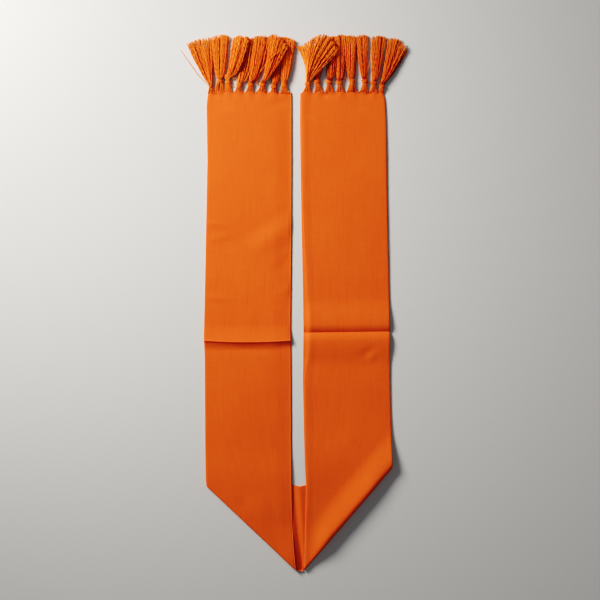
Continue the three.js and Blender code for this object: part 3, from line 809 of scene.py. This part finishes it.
def columnRows(column):
    line = foldLine(column)
    fold = column["fold"]
    nose = fold["noseRadius"]
    halfWall = cloth["thickness"] / 2
    radius = nose - halfWall

    def edgeHeight(edge, distance):
        # how high up one of its edges a line this far above the slanting fold comes
        y = fold["apexY"]
        for _ in range(rowPlan["refining"]):
            y = line["yAt"](np.interp(y, column["y"], column[edge])) + distance / line["slant"]
        return y

    def corners(outerY, innerY):
        outer = np.array([np.interp(outerY, column["y"], column["outer"]), outerY])
        inner = np.array([np.interp(innerY, column["y"], column["inner"]), innerY])
        return outer, inner

    def rowAt(upperYs, lowerYs, angle, flat):
        # angle runs from 0 on top to pi underneath, flat is the way past the turn along the surface
        outer, inner = corners(*upperYs)
        outerLow, innerLow = corners(*lowerYs)
        peek = np.interp(upperYs[1], column["y"], column["peek"])
        wobbling = min(1, peek / cloth["wobblyPeek"])
        peek = max(cloth["leastPeek"], peek + edgeWobble(column, upperYs[1], cloth["upperWobble"]) * wobbling)
        shift = edgeWobble(column, lowerYs[1], cloth["lowerWobble"])
        for nickY, nickReach, nickDepth in column["nicks"]:
            shift += nickDepth * math.exp(-((lowerYs[1] - nickY) / nickReach) ** 2)
        innerLow = innerLow + np.array([shift, 0.0])
        width = np.linalg.norm(inner - outer)
        share = (1 + math.cos(angle)) / 2

        def planAt(places, start, end):
            t = (places / np.linalg.norm(end - start))[:, None]
            return start + (end - start) * t

        def upper(places):
            plan = planAt(places, outer, inner)
            high, _ = columnHeights(column, line, plan[:, 0], plan[:, 1], width - peek - places)
            return np.column_stack([plan, mixed(halfWall, high, share)])

        def lower(places):
            plan = planAt(places, outerLow, innerLow)
            _, low = columnHeights(column, line, plan[:, 0], plan[:, 1], width - peek - places)
            return np.column_stack([plan, mixed(halfWall + cloth["foldGap"], low, share)])

        points, acrossU, toSelvedge = ringFrom(outer, inner, peek, upper, lower)
        toEnd = clothEnd - points[:, 1] + flat
        # painted rim highlight on the selvedge near the neck
        rimHighlight = smooth((cloth["rimHighlightTo"] - points[:, 1]) / cloth["rimHighlightFade"]) * column["rimHighlight"]
        points[:, 1] += endShape(column, points[:, 0], points[:, 1])
        along = points[:, 1] - flat
        points[:, 0] *= column["side"]
        return {"points": points, "uv": np.column_stack([acrossU, along]), "toSelvedge": toSelvedge,
                "toEnd": toEnd, "rimHighlight": rimHighlight}

    def slantedRow(distanceUp, distanceLow, angle, flat):
        up = (edgeHeight("outer", distanceUp), edgeHeight("inner", distanceUp))
        low = (edgeHeight("outer", distanceLow), edgeHeight("inner", distanceLow))
        return rowAt(up, low, angle, flat)

    def levelRow(ys):
        return rowAt(ys, ys, 0.0, 0.0)

    rows = []
    arc = math.pi * radius
    for share in rowPlan["underneath"]:
        distance = mixed(nose, fold["noseDepth"], share)
        rows.append(slantedRow(distance, distance, math.pi, arc + distance - nose))
    for step in range(rowPlan["noseSteps"] + 1):
        rest = 1 - step / rowPlan["noseSteps"]
        inset = radius * math.sin(math.pi * rest)
        insetLow = inset * rowPlan["lowerInset"]
        rows.append(slantedRow(nose - inset, nose - insetLow, math.pi * rest, arc * rest))
    slantEnd = fold["reach"] + rowPlan["slantPast"]
    for distance in np.arange(nose + rowPlan["slantStart"], slantEnd, rowPlan["slantStep"]):
        rows.append(slantedRow(distance, distance, 0.0, 0.0))
    outerY = edgeHeight("outer", distance)
    innerY = edgeHeight("inner", distance)
    for step in range(1, rowPlan["turning"] + 1):
        share = step / rowPlan["turning"]
        ys = (mixed(outerY, fold["levelFrom"], share), mixed(innerY, fold["levelFrom"], share))
        rows.append(levelRow(ys))
    y = fold["levelFrom"]
    crossings = [crossing["y0"] for crossing in column["creases"][:1] + column["valleys"]]
    while y < clothEnd - rowPlan["endLast"]:
        y += levelStep(y, crossings)
        if clothEnd - y < rowPlan["endReach"]:
            y = min(y - rowPlan["endCloser"], clothEnd)
        rows.append(levelRow((min(y, clothEnd), min(y, clothEnd))))
    return rows


# what a tassel has unless its own row says otherwise
usualTassel = {
    "over": 0.0,               # how far its brush is raised over its neighbours
    "widen": (0.42, 0.42),     # how its left and right side open: 1 is straight, less is a bell
    "lean": 1.0,               # above 1 its crown leans to the right
    "yarns": 64,
    "knotWidth": 0.0132,
    "knotLength": 0.0112,
    "waist": 0.0,              # how far the knot is drawn in at its middle
    "wraps": 2.1,
    "tilt": 0.0,
    "split": 0.0,              # gap down the middle of its tent
    "dome": 0.0,               # how far its tent is puffed up
    "faded": 0.0,              # painted light: above 0 paler and lighter, below 0 painted shade, darker than the others
}


def tassel(rootX, rootWidth, knotX, knotY, tip0, tip1, crown, **more):
    # places across from the V's middle line, and up from the cloth's end; tips are those of the outer yarns
    own = {"rootX": rootX, "rootWidth": rootWidth, "knotX": knotX, "knotY": knotY, "tip0": tip0, "tip1": tip1,
           "crown": crown}
    return {**usualTassel, **own, **more}


# each tassel's painted light: above 0 lighter and paler, below 0 painted shade, as under the shadow of the
# big fan
leftColumn["tassels"] = [
    tassel(-0.1654, 0.012, -0.1662, 0.0090, (-0.2105, 0.090), (-0.1630, 0.101), 0.004, widen=(0.85, 0.9),
           knotWidth=0.0085, knotLength=0.0065, tilt=0.5, faded=0.15),
    tassel(-0.1510, 0.016, -0.1493, 0.0190, (-0.1630, 0.102), (-0.1330, 0.105), 0.003, tilt=-0.25,
           split=0.0022, faded=0.25),
    tassel(-0.1336, 0.016, -0.1342, 0.0225, (-0.1245, 0.102), (-0.0945, 0.101), 0.003, over=0.0065,
           widen=(0.75, 0.42), knotLength=0.0205, waist=0.75, wraps=4.0, tilt=0.1, faded=0.30),
    tassel(-0.1146, 0.017, -0.1126, 0.0128, (-0.1085, 0.099), (-0.0835, 0.099), 0.002, widen=(0.7, 0.34),
           tilt=-0.3, faded=0.25),
    tassel(-0.0937, 0.017, -0.0920, 0.0130, (-0.0850, 0.102), (-0.0570, 0.102), 0.003, widen=(0.7, 0.42),
           tilt=0.35),
    tassel(-0.0720, 0.019, -0.0695, 0.0128, (-0.0565, 0.106), (-0.0215, 0.084), 0.008, over=0.0075,
           widen=(0.55, 0.75), yarns=72, tilt=-0.15),
    tassel(-0.0490, 0.016, -0.0480, 0.0090, (-0.0500, 0.101), (-0.0320, 0.100), 0.001, widen=(0.3, 0.3),
           tilt=0.3),
    tassel(-0.0276, 0.016, -0.0288, 0.0140, (-0.0345, 0.102), (-0.0085, 0.095), 0.003, widen=(0.35, 0.6),
           knotLength=0.0165, waist=0.3, wraps=3.0, tilt=-0.1, faded=0.10),
]
rightColumn["tassels"] = [
    tassel(0.0138, 0.018, 0.0155, 0.0140, (-0.0062, 0.086), (0.0715, 0.077), 0.026, over=0.0085,
           widen=(2.8, 0.95), yarns=120, tilt=-0.2, lean=1.7, faded=0.35),
    tassel(0.0370, 0.018, 0.0330, 0.0185, (0.0390, 0.101), (0.0560, 0.102), 0.002, widen=(0.8, 0.8),
           tilt=0.35),
    tassel(0.0570, 0.018, 0.0547, 0.0175, (0.0530, 0.102), (0.0735, 0.102), 0.002, widen=(0.3, 0.35),
           tilt=-0.3, faded=-0.16),
    tassel(0.0772, 0.018, 0.0746, 0.0165, (0.0690, 0.104), (0.0875, 0.104), 0.003, widen=(0.3, 0.3),
           tilt=0.15, faded=-0.24),
    tassel(0.0988, 0.021, 0.0978, 0.0198, (0.0850, 0.103), (0.1065, 0.103), 0.002, widen=(0.32, 0.4),
           tilt=-0.2, dome=0.0016),
    tassel(0.1204, 0.018, 0.1219, 0.0195, (0.1070, 0.103), (0.1270, 0.104), 0.003, widen=(0.4, 0.5),
           tilt=0.3),
    tassel(0.1388, 0.016, 0.1389, 0.0155, (0.1355, 0.102), (0.1600, 0.102), 0.003, widen=(0.3, 0.5),
           tilt=-0.35, faded=-0.14),
    tassel(0.1524, 0.010, 0.1540, 0.0105, (0.1640, 0.099), (0.2015, 0.082), 0.008, widen=(0.75, 0.8),
           knotWidth=0.0105, tilt=0.45, faded=-0.08),
]


strandSides = 4


def strandCurves(g, count, steps):
    # a bundle of straight unit curves, with each one's number and each point's share of the way
    line = g.node("GeometryNodeCurvePrimitiveLine", None, {"Start": (0, 0, 0), "End": (0, 1, 0)})
    line = g.node("GeometryNodeResampleCurve", None, {"Curve": line, "Count": steps})
    points = g.node("GeometryNodePoints", None, {"Count": count})
    copies = g.node("GeometryNodeInstanceOnPoints", None, {"Points": points, "Instance": line})
    curves = g.node("GeometryNodeRealizeInstances", None, {"Geometry": copies})
    number = g.node("GeometryNodeCurveOfPoint")
    share = g.node("GeometryNodeSplineParameter")
    return curves, number, share


def randomFor(g, number, seed, offset):
    return g.node("FunctionNodeRandomValue", {"data_type": "FLOAT"}, {"ID": number, "Seed": seed + offset}, 1)


def sweepStrands(g, curves, place, radius, facts):
    moved = g.node("GeometryNodeSetPosition", None, {"Geometry": curves, "Position": place})
    for name, value in facts.items():
        moved = g.node("GeometryNodeStoreNamedAttribute", {"data_type": "FLOAT", "domain": "POINT"},
                       {"Geometry": moved, "Name": name, "Value": value})
    ring = g.node("GeometryNodeCurvePrimitiveCircle", {"mode": "RADIUS"},
                  {"Resolution": strandSides, "Radius": radius})
    return g.node("GeometryNodeCurveToMesh", None, {"Curve": moved, "Profile Curve": ring, "Fill Caps": True})


def wave(phase):
    return phase.math("SINE")


fullTurn = 2 * math.pi

knot = {
    "height": 0.0038,          # of its middle
    "strands": 6,              # in the twisted bundle that is wound round the yarns
    "steps": 76,
    "strandRadius": 0.00074,
    "bundleRadius": 0.0015,
    "rolls": 3.0,
    "start": 0.25,             # share of a turn
    "egg": 0.30,               # how much thinner its ends are
    "waistReach": 2.2,
    # place along a yarn and depth for its strands, which set tip paling and painted shade
    "look": {"along": 0.2, "depth": 0.7},
    "paintedLightShare": 0.35,            # share of the brush's painted light and shade that its knot and tent have
}

brush = {
    "plies": 2,
    "plyRadius": 0.00036,
    "steps": 30,
    "twist": 4.0,
    "bound": 0.055,            # share of the brush that the knot holds together
    "rootSpan": 0.0060,
    "rootDepth": 0.0042,
    "tipDepth": 0.0052,
    "lowest": 0.0007,
    "sinks": 0.8,              # share of the way at which a yarn has come down to its tip's height
    "belly": 0.0022,
    "bellyAt": 0.6,            # below 1 the belly is nearer to the knot
    "flatSides": 3,
    "trim": 0.0080,
    "tipSpread": 0.004,
    "jitter": 2,               # range of places in which a yarn may lie, in yarns
    "crimp": 0.00042,
    "loosening": 0.3,          # how much of its crimp a yarn has before its end
    # slow and quick waves along a yarn: half waves at least, how many more, share of the crimp
    "slow": (3, 5, 1.5),
    "quick": (15, 10, 0.32),
    "splay": 0.0008,
    "leastSplay": 0.2,
    "flatTwist": 0.8,
    "floorGap": 0.00036 * 1.02,    # a ply's middle never comes lower
    # where along it the brush rises over its neighbours, and where across it
    "riseAlong": (0.02, 0.32),
    "riseAcross": (0.05, 0.35),
    "litAlong": (0.04, 0.16),  # painted shade where it comes out of the knot
}

tent = {
    "yarns": 24,
    "steps": 12,
    "yarnRadius": 0.00062,
    "rise": 0.0014,
    "spread": 1.1,             # of the root's width
    "inset": 0.0035,           # how far inside the cloth its yarns begin
    "topSpan": 0.0062,
    "gathering": 1.45,
    "waver": 0.0012,
    "layerGap": 0.0011,
    "lowest": 0.0010,
    "topGap": 0.0024,
    "climb": (0.1, 0.9),
    "litAlong": (0.12, 0.34),
    "depth": (0.40, 0.5),      # painted shade: lightness of its lower layer, and how much more the upper one has
    "paling": 0.3,
}


def brushStrands(g, size):
    # twisted yarns that fan out of the knot and open at their ends
    b = brush
    curves, strand, f = strandCurves(g, size["Yarns"] * b["plies"], b["steps"])
    yarnNumber = (strand / b["plies"]).math("FLOOR")
    ply = strand - yarnNumber * b["plies"]
    jitter, layer, tipShift, cutBack, wavy, phase, rollStart, tone = [
        randomFor(g, yarnNumber, size["Seed"], offset) for offset in range(8)]
    side = (yarnNumber + 0.5 + (jitter - 0.5) * b["jitter"]) / size["Yarns"]
    middle = side - 0.5

    def crimpWave(kind, more, start):
        least, extra, share = b[kind]
        return wave(f * (least + more * extra) * math.pi + start * fullTurn) * share

    # across: from the knot out to the tip, and the yarn's own waves
    rootX = size["Knot X"] + middle * b["rootSpan"]
    tipX = mixed(size["Left Tip X"], size["Right Tip X"], side) + (tipShift - 0.5) * b["tipSpread"]
    widening = mixed(size["Left Widening"], size["Right Widening"], side)
    free = ((f - b["bound"]) / (1 - b["bound"])).math("MAXIMUM", 0.0)
    loose = f * (1 + (1 - f) * b["loosening"])
    x = mixed(rootX, tipX, free ** widening)
    x = x + (crimpWave("slow", wavy, phase) + crimpWave("quick", phase, wavy)) * b["crimp"] * loose

    # along: up to a crowned and unevenly cut end
    crown = size["Crown"] * wave(side.math("MAXIMUM", 0.0) ** size["Crown Lean"] * math.pi)
    tipY = mixed(size["Left Tip Y"], size["Right Tip Y"], side) + crown - cutBack * cutBack * b["trim"]
    y = mixed(size["Knot Y"], tipY, f)

    # height: from the knot's own layers down to a flatter end
    rootZ = (layer - 0.5) * b["rootDepth"] + knot["height"]
    tipZ = layer * b["tipDepth"] + b["lowest"]
    belly = wave(f ** b["bellyAt"] * math.pi) * (1 - middle * middle * b["flatSides"]) * b["belly"] * layer
    rise = g.ease(f, *b["riseAlong"]) * g.ease(side, *b["riseAcross"]) * size["Over"]
    z = mixed(rootZ, tipZ, g.ease(f, 0.0, b["sinks"])) + belly + rise

    turn = (ply / b["plies"] + f * b["twist"] + rollStart) * fullTurn
    apart = b["plyRadius"] + f * f * f * b["splay"] * (b["leastSplay"] + wavy)
    z = z + turn.math("SINE") * apart * b["flatTwist"]
    place = g.combine(x + turn.math("COSINE") * apart, y, z.math("MAXIMUM", b["floorGap"]))
    # depth carries painted shade: lower layers and the stretch by the knot are darker
    facts = {"along": f, "tone": tone, "depth": layer * g.ease(f, *b["litAlong"]), "faded": size["Painted Light"]}
    return sweepStrands(g, curves, place, b["plyRadius"], facts)


def knotStrands(g, size):
    # a twisted bundle wound round the yarns
    k = knot
    curves, strand, f = strandCurves(g, k["strands"], k["steps"])
    swing = (f * size["Wraps"] - k["start"]) * fullTurn
    roll = (strand / k["strands"] + f * k["rolls"]) * fullTurn
    fromMiddle = (f * 2 - 1).math("ABSOLUTE") * k["waistReach"]
    waist = 1 - size["Knot Waist"] * (1 - fromMiddle.math("MINIMUM", 1.0))
    egg = (wave(f * math.pi) * k["egg"] + (1 - k["egg"])) * waist
    thick = k["bundleRadius"] + k["strandRadius"]
    reachX = (size["Knot Width"] / 2 - thick) * egg + roll.math("COSINE") * k["bundleRadius"]
    reachZ = (k["height"] - thick) * egg + roll.math("COSINE") * k["bundleRadius"]
    flatX = swing.math("COSINE") * reachX
    flatY = (f - 0.5) * (size["Knot Length"] - thick * 2) + roll.math("SINE") * k["bundleRadius"]
    tiltC = size["Knot Tilt"].math("COSINE")
    tiltS = size["Knot Tilt"].math("SINE")
    place = g.combine(size["Knot X"] + flatX * tiltC - flatY * tiltS,
                      size["Knot Y"] + flatX * tiltS + flatY * tiltC,
                      k["height"] + swing.math("SINE") * reachZ)
    facts = {**k["look"], "tone": randomFor(g, strand, size["Seed"], 11),
             "faded": size["Painted Light"] * k["paintedLightShare"]}
    return sweepStrands(g, curves, place, k["strandRadius"], facts)


def tentStrands(g, size):
    # warp that gathers from the cloth's end into the knot, in two layers
    t = tent
    curves, strand, f = strandCurves(g, t["yarns"], t["steps"])
    layer = strand.math("MODULO", 2)
    waver, lifted, tone = [randomFor(g, strand, size["Seed"], offset) for offset in (17, 18, 19)]
    side = (strand + 0.5) / t["yarns"]
    middle = side - 0.5
    arch = wave(f * math.pi)
    footX = size["Root X"] + middle * size["Root Width"] * t["spread"]
    topX = size["Knot X"] + middle * t["topSpan"]
    x = mixed(footX, topX, 1 - (1 - f) ** t["gathering"])
    x = x + middle.math("SIGN") * size["Tent Split"] * arch + (waver - 0.5) * t["waver"] * arch
    y = mixed(size["Root Y"] - t["inset"], size["Knot Y"], f)
    footZ = layer * t["layerGap"] + t["lowest"]
    topZ = (layer - 0.5) * t["topGap"] + knot["height"]
    crest = arch * (1 - middle * middle * 4) * (t["rise"] * lifted + size["Tent Dome"])
    z = mixed(footZ, topZ, g.ease(f, *t["climb"])) + crest
    lower, more = t["depth"]
    # painted shade on the lower layer and near the knot
    depth = (layer * more + lower) * (1 - f ** 4) * g.ease(f, *t["litAlong"])
    facts = {"along": f * t["paling"], "tone": tone, "depth": depth, "faded": size["Painted Light"] * knot["paintedLightShare"]}
    return sweepStrands(g, curves, g.combine(x, y, z), t["yarnRadius"], facts)


def tasselTree():
    tree = bpy.data.node_groups.new("tasselOfYarn", "GeometryNodeTree")
    g = Graph(tree)
    tree.interface.new_socket("Geometry", in_out="OUTPUT", socket_type="NodeSocketGeometry")
    for name in ("Root X", "Root Y", "Root Width", "Knot X", "Knot Y", "Left Tip X", "Left Tip Y",
                 "Right Tip X", "Right Tip Y", "Crown", "Crown Lean", "Over", "Left Widening",
                 "Right Widening", "Knot Width", "Knot Length", "Knot Waist", "Knot Tilt", "Wraps",
                 "Tent Split", "Tent Dome", "Painted Light"):
        tree.interface.new_socket(name, in_out="INPUT", socket_type="NodeSocketFloat")
    for name in ("Yarns", "Seed"):
        tree.interface.new_socket(name, in_out="INPUT", socket_type="NodeSocketInt")
    tree.interface.new_socket("Material", in_out="INPUT", socket_type="NodeSocketMaterial")
    given = tree.nodes.new("NodeGroupInput")
    size = {socket.name: Wire(g, socket) for socket in given.outputs if socket.name}

    joined = tree.nodes.new("GeometryNodeJoinGeometry")
    for part in (brushStrands(g, size), knotStrands(g, size), tentStrands(g, size)):
        tree.links.new(part.socket, joined.inputs[0])
    soft = g.node("GeometryNodeSetShadeSmooth", None, {"Geometry": Wire(g, joined.outputs[0])})
    whole = g.node("GeometryNodeRealizeInstances", None, {"Geometry": soft})
    finished = g.node("GeometryNodeSetMaterial", None, {"Geometry": whole, "Material": size["Material"]})
    out = tree.nodes.new("NodeGroupOutput")
    tree.links.new(finished.socket, out.inputs[0])
    return tree


def grow(name, tree, values):
    # runs a tree on an empty mesh and keeps what it makes as a plain mesh
    piece = addPiece(name, bpy.data.meshes.new(name))
    modifier = piece.modifiers.new("grow", "NODES")
    modifier.node_group = tree
    for item in tree.interface.items_tree:
        if item.item_type == "SOCKET" and item.in_out == "INPUT" and item.name in values:
            modifier[item.identifier] = values[item.name]
    depsgraph = bpy.context.evaluated_depsgraph_get()
    grown = bpy.data.meshes.new_from_object(piece.evaluated_get(depsgraph), preserve_all_data_layers=True,
                                            depsgraph=depsgraph)
    piece.modifiers.remove(modifier)
    piece.data = grown
    grown.name = name
    return piece


seeds = {"left": 0, "right": 500, "step": 31}


def addTassels(column, side, tree):
    made = []
    endY = clothEnd + lowestY
    for number, row in enumerate(column["tassels"], 1):
        values = {
            "Root X": row["rootX"] + middleX, "Root Y": endY, "Root Width": row["rootWidth"],
            "Knot X": row["knotX"] + middleX, "Knot Y": row["knotY"] + endY,
            "Left Tip X": row["tip0"][0] + middleX, "Left Tip Y": row["tip0"][1] + endY,
            "Right Tip X": row["tip1"][0] + middleX, "Right Tip Y": row["tip1"][1] + endY,
            "Crown": row["crown"], "Crown Lean": row["lean"], "Over": row["over"],
            "Left Widening": row["widen"][0], "Right Widening": row["widen"][1],
            "Knot Width": row["knotWidth"], "Knot Length": row["knotLength"], "Knot Waist": row["waist"],
            "Knot Tilt": row["tilt"], "Wraps": row["wraps"], "Tent Split": row["split"],
            "Tent Dome": row["dome"], "Painted Light": row["faded"], "Yarns": row["yarns"],
            "Seed": number * seeds["step"] + seeds[side], "Material": saffronYarn,
        }
        piece = grow(f"yarn_tassel_{side}_{number}", tree, values)
        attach(piece, "root")
        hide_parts(f"tassel_{side}_{number}")
        made.append(piece)
    return made


looseThreads = {
    "radius": 0.00048,
    # their place along a yarn, tone, painted-shade depth and painted light
    "look": {"along": 0.8, "tone": 0.7, "depth": 0.9, "faded": 0.1},
    # places from the V's middle line and from the cloth's end, and heights
    "paths": [
        [(-0.1674, 0.0093, 0.004), (-0.1748, 0.0160, 0.003), (-0.1866, 0.0270, 0.002),
         (-0.1999, 0.0449, 0.0012), (-0.2132, 0.0642, 0.0007), (-0.2229, 0.0774, 0.0006)],
        [(-0.1253, 0.0252, 0.006), (-0.1206, 0.0206, 0.004), (-0.1141, 0.0224, 0.003),
         (-0.1122, 0.0262, 0.003)],
        [(-0.1337, 0.0122, 0.003), (-0.1244, 0.0094, 0.002), (-0.1150, 0.0103, 0.003)],
        [(-0.1232, 0.0252, 0.006), (-0.1174, 0.0241, 0.005), (-0.1128, 0.0264, 0.005),
         (-0.1103, 0.0299, 0.006)],
        [(-0.0309, 0.0159, 0.005), (-0.0365, 0.0271, 0.006), (-0.0421, 0.0365, 0.006)],
        [(-0.0776, 0.0215, 0.004), (-0.0804, 0.0178, 0.003), (-0.0813, 0.0122, 0.003)],
        [(-0.0552, 0.0178, 0.004), (-0.0589, 0.0271, 0.005), (-0.0645, 0.0337, 0.006)],
        [(0.0570, 0.0262, 0.004), (0.0598, 0.0206, 0.003), (0.0645, 0.0168, 0.003)],
        [(0.0851, 0.0271, 0.004), (0.0888, 0.0234, 0.003), (0.0944, 0.0237, 0.003)],
        [(0.1225, 0.0290, 0.005), (0.1318, 0.0551, 0.004), (0.1344, 0.0794, 0.002)],
        [(-0.0729, 0.0346, 0.0128), (-0.0636, 0.0486, 0.0156), (-0.0496, 0.0637, 0.0162),
         (-0.0355, 0.0742, 0.0152), (-0.0226, 0.0802, 0.0118), (-0.0215, 0.0766, 0.0100)],
        [(-0.1627, 0.0178, 0.004), (-0.1614, 0.0590, 0.0025), (-0.1618, 0.0870, 0.0012)],
        [(0.1524, 0.0130, 0.004), (0.1600, 0.0240, 0.004), (0.1706, 0.0277, 0.002), (0.1742, 0.0346, 0.001),
         (0.1752, 0.0464, 0.001)],
    ],
    "steps": 6,
}


def addLooseThreads():
    # stray ends between the knots, each one smooth curve
    data = bpy.data.curves.new("loose_threads", "CURVE")
    data.dimensions = "3D"
    data.bevel_depth = looseThreads["radius"]
    data.bevel_resolution = 1
    data.use_fill_caps = True
    data.resolution_u = looseThreads["steps"]
    for path in looseThreads["paths"]:
        spline = data.splines.new("BEZIER")
        spline.bezier_points.add(len(path) - 1)
        for point, (x, y, z) in zip(spline.bezier_points, path):
            point.co = (x + middleX, y + clothEnd + lowestY, z)
            point.handle_left_type = "AUTO"
            point.handle_right_type = "AUTO"
    curve = addPiece("thread_curves", data)
    depsgraph = bpy.context.evaluated_depsgraph_get()
    mesh = bpy.data.meshes.new_from_object(curve.evaluated_get(depsgraph))
    bpy.data.objects.remove(curve)
    for name, value in looseThreads["look"].items():
        layer = mesh.attributes.new(name, "FLOAT", "POINT")
        layer.data.foreach_set("value", np.full(len(mesh.vertices), value, np.float32))
    mesh.materials.clear()
    mesh.materials.append(saffronYarn)
    mesh.shade_smooth()
    threads = addPiece("loose_threads", mesh)
    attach(threads, "root")


addLooseThreads()
tree = tasselTree()
leftTassels = addTassels(leftColumn, "left", tree)
rightTassels = addTassels(rightColumn, "right", tree)
print("tassels made")

leftCloth = stripSheet("left_cloth", columnRows(leftColumn), saffronWeave)
rightCloth = stripSheet("right_cloth", columnRows(rightColumn), saffronWeave)
print("columns made")


# the neck stretch, behind both columns
neck = {
    "ends": (neckCorner["fromMiddle"], 0.148),
    # distances between the rows across it, where the finer ones start and stop, and the gap's number
    "coarse": 0.006,
    "fine": 0.0007,
    "fineFrom": -0.020,
    "fineTo": 0.022,
    "coarseFrom": 0.024,
    "gapRows": 26,
    "tucked": 0.0003,          # how far the gap's own foot goes on under the columns
    "hair": 0.00005,
    "peek": 0.0008,            # of its lower ply
    # the tongue's own foot, a shallow scoop, and its turned-up rim
    "foot": {"x": [-0.0060, -0.0010, 0.0035, 0.0074], "y": [0.0026, 0.0010, 0.0002, 0.0008]},
    "rim": 0.0021,
    "rimWidth": 0.0021,
    "clear": 0.0006,
    "pressed": 0.0009,         # the upper ply's middle above the lower one's, under the columns
    "overlap": 0.0020,         # how far past the columns' edges it is pressed
    "leastSpan": 0.002,
    "footHeight": 0.0012,      # the most at its lowest edge, and how far up that eases
    "footReach": 0.008,
    # the twisted middle between the columns, rows from its lowest edge up:
    # a valley, then a ridge to its right, then the foot of the ridge
    "twist": {
        "y": [0.000, 0.022, 0.041, 0.069, 0.112, 0.140, 0.161],
        "rollX": [-0.0050, -0.0074, -0.0093, -0.0111, -0.0131, -0.0146, -0.0150],
        "rollZ": [0.0044, 0.0050, 0.0046, 0.0036, 0.0018, 0.0012, 0.0012],
        "valleyX": [0.0056, 0.0047, 0.0019, -0.0028, -0.0064, -0.0094, -0.0116],
        "valleyZ": [0.0008, 0.0008, 0.0008, 0.0009, 0.0009, 0.0009, 0.0009],
        "ridgeX": [0.0086, 0.0088, 0.0088, 0.0077, 0.0040, 0.0018, 0.0004],
        "ridgeZ": [0.0024, 0.0028, 0.0030, 0.0033, 0.0033, 0.0032, 0.0031],
        "footX": [0.0103, 0.0110, 0.0114, 0.0120, 0.0118, 0.0116, 0.0114],
        "footZ": [0.0022, 0.0024, 0.0026, 0.0028, 0.0024, 0.0019, 0.0018],
    },
}


def easedAlong(at, places, heights):
    # the height at one place of a line through some points, level at each of them
    k = int(np.clip(np.searchsorted(places, at) - 1, 0, len(places) - 2))
    return mixed(heights[k], heights[k + 1], smooth((at - places[k]) / (places[k + 1] - places[k])))


def neckUpper(x, y):
    # the upper ply's heights along one line across the neck, x being the same all along it
    twist = neck["twist"]
    at = {name: np.interp(y, twist["y"], values) for name, values in twist.items()}
    pressed = cloth["lowPly"] + neck["pressed"]
    leftEdge = -np.interp(y, leftColumn["y"], leftColumn["inner"]) - neck["overlap"]
    rightEdge = np.interp(y, rightColumn["y"], rightColumn["inner"]) + neck["overlap"]
    heights = []
    for index, px in enumerate(x):
        roll, valley = at["rollX"][index], at["valleyX"][index]
        ridge, foot = at["ridgeX"][index], at["footX"][index]
        left = min(leftEdge[index], roll - neck["leastSpan"])
        right = max(rightEdge[index], foot + neck["leastSpan"])
        heights.append(easedAlong(px, [left, roll, valley, ridge, foot, right],
                                  [pressed, at["rollZ"][index], at["valleyZ"][index], at["ridgeZ"][index],
                                   at["footZ"][index], pressed]))
    heights = np.array(heights)
    return mixed(np.minimum(heights, neck["footHeight"]), heights, smooth(y / neck["footReach"]))


def neckRows():
    leftLine, rightLine = foldLine(leftColumn), foldLine(rightColumn)
    leftGap = -np.interp(0, leftColumn["y"], leftColumn["inner"]) + neck["tucked"]
    rightGap = np.interp(0, rightColumn["y"], rightColumn["inner"]) - neck["tucked"]

    def lowerY(x):
        if leftGap <= x <= rightGap:
            return np.interp(x, neck["foot"]["x"], neck["foot"]["y"])
        column, line = (leftColumn, leftLine) if x < 0 else (rightColumn, rightLine)
        return line["yAt"](abs(x)) + (column["fold"]["noseDepth"] + neck["clear"]) / line["slant"]

    leftEnd, rightEnd = neck["ends"]
    places = np.concatenate([
        np.arange(leftEnd, neck["fineFrom"], neck["coarse"]),
        np.arange(neck["fineFrom"], leftGap - 2 * neck["hair"], neck["fine"]),
        [leftGap - neck["hair"]], np.linspace(leftGap, rightGap, neck["gapRows"]), [rightGap + neck["hair"]],
        np.arange(rightGap + neck["fine"], neck["fineTo"], neck["fine"]),
        np.arange(neck["coarseFrom"], rightEnd, neck["coarse"]), [rightEnd]])
    rows = []
    for x in places:
        folded = np.array([x, np.interp(x, neckTop["x"], neckTop["y"])])
        opened = np.array([x, lowerY(x)])

        def upper(insets):
            y = folded[1] - insets
            z = neckUpper(np.full_like(y, x), y)
            if leftGap < x < rightGap:
                z = z + neck["rim"] * np.exp(-((y - opened[1]) / neck["rimWidth"]) ** 2)
            return np.column_stack([np.full_like(y, x), y, z])

        def lower(insets):
            y = folded[1] - insets
            return np.column_stack([np.full_like(y, x), y, np.full_like(y, cloth["lowPly"])])

        points, acrossU, toSelvedge = ringFrom(folded, opened, neck["peek"], upper, lower)
        # the neck stretch's selvedges carry the painted rim highlight in full
        rows.append({"points": points, "uv": np.column_stack([acrossU, points[:, 0]]),
                     "toSelvedge": toSelvedge, "toEnd": 1.0, "rimHighlight": 1.0})
    return rows


neckCloth = stripSheet("neck_cloth", neckRows(), saffronWeave)
print("neck stretch made")


# attach the sheets to the root body and hide the parts they stand for
for piece, node in ((leftCloth, "left_panel"), (rightCloth, "right_panel"), (neckCloth, "neck_panel")):
    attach(piece, "root")
    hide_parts(node)
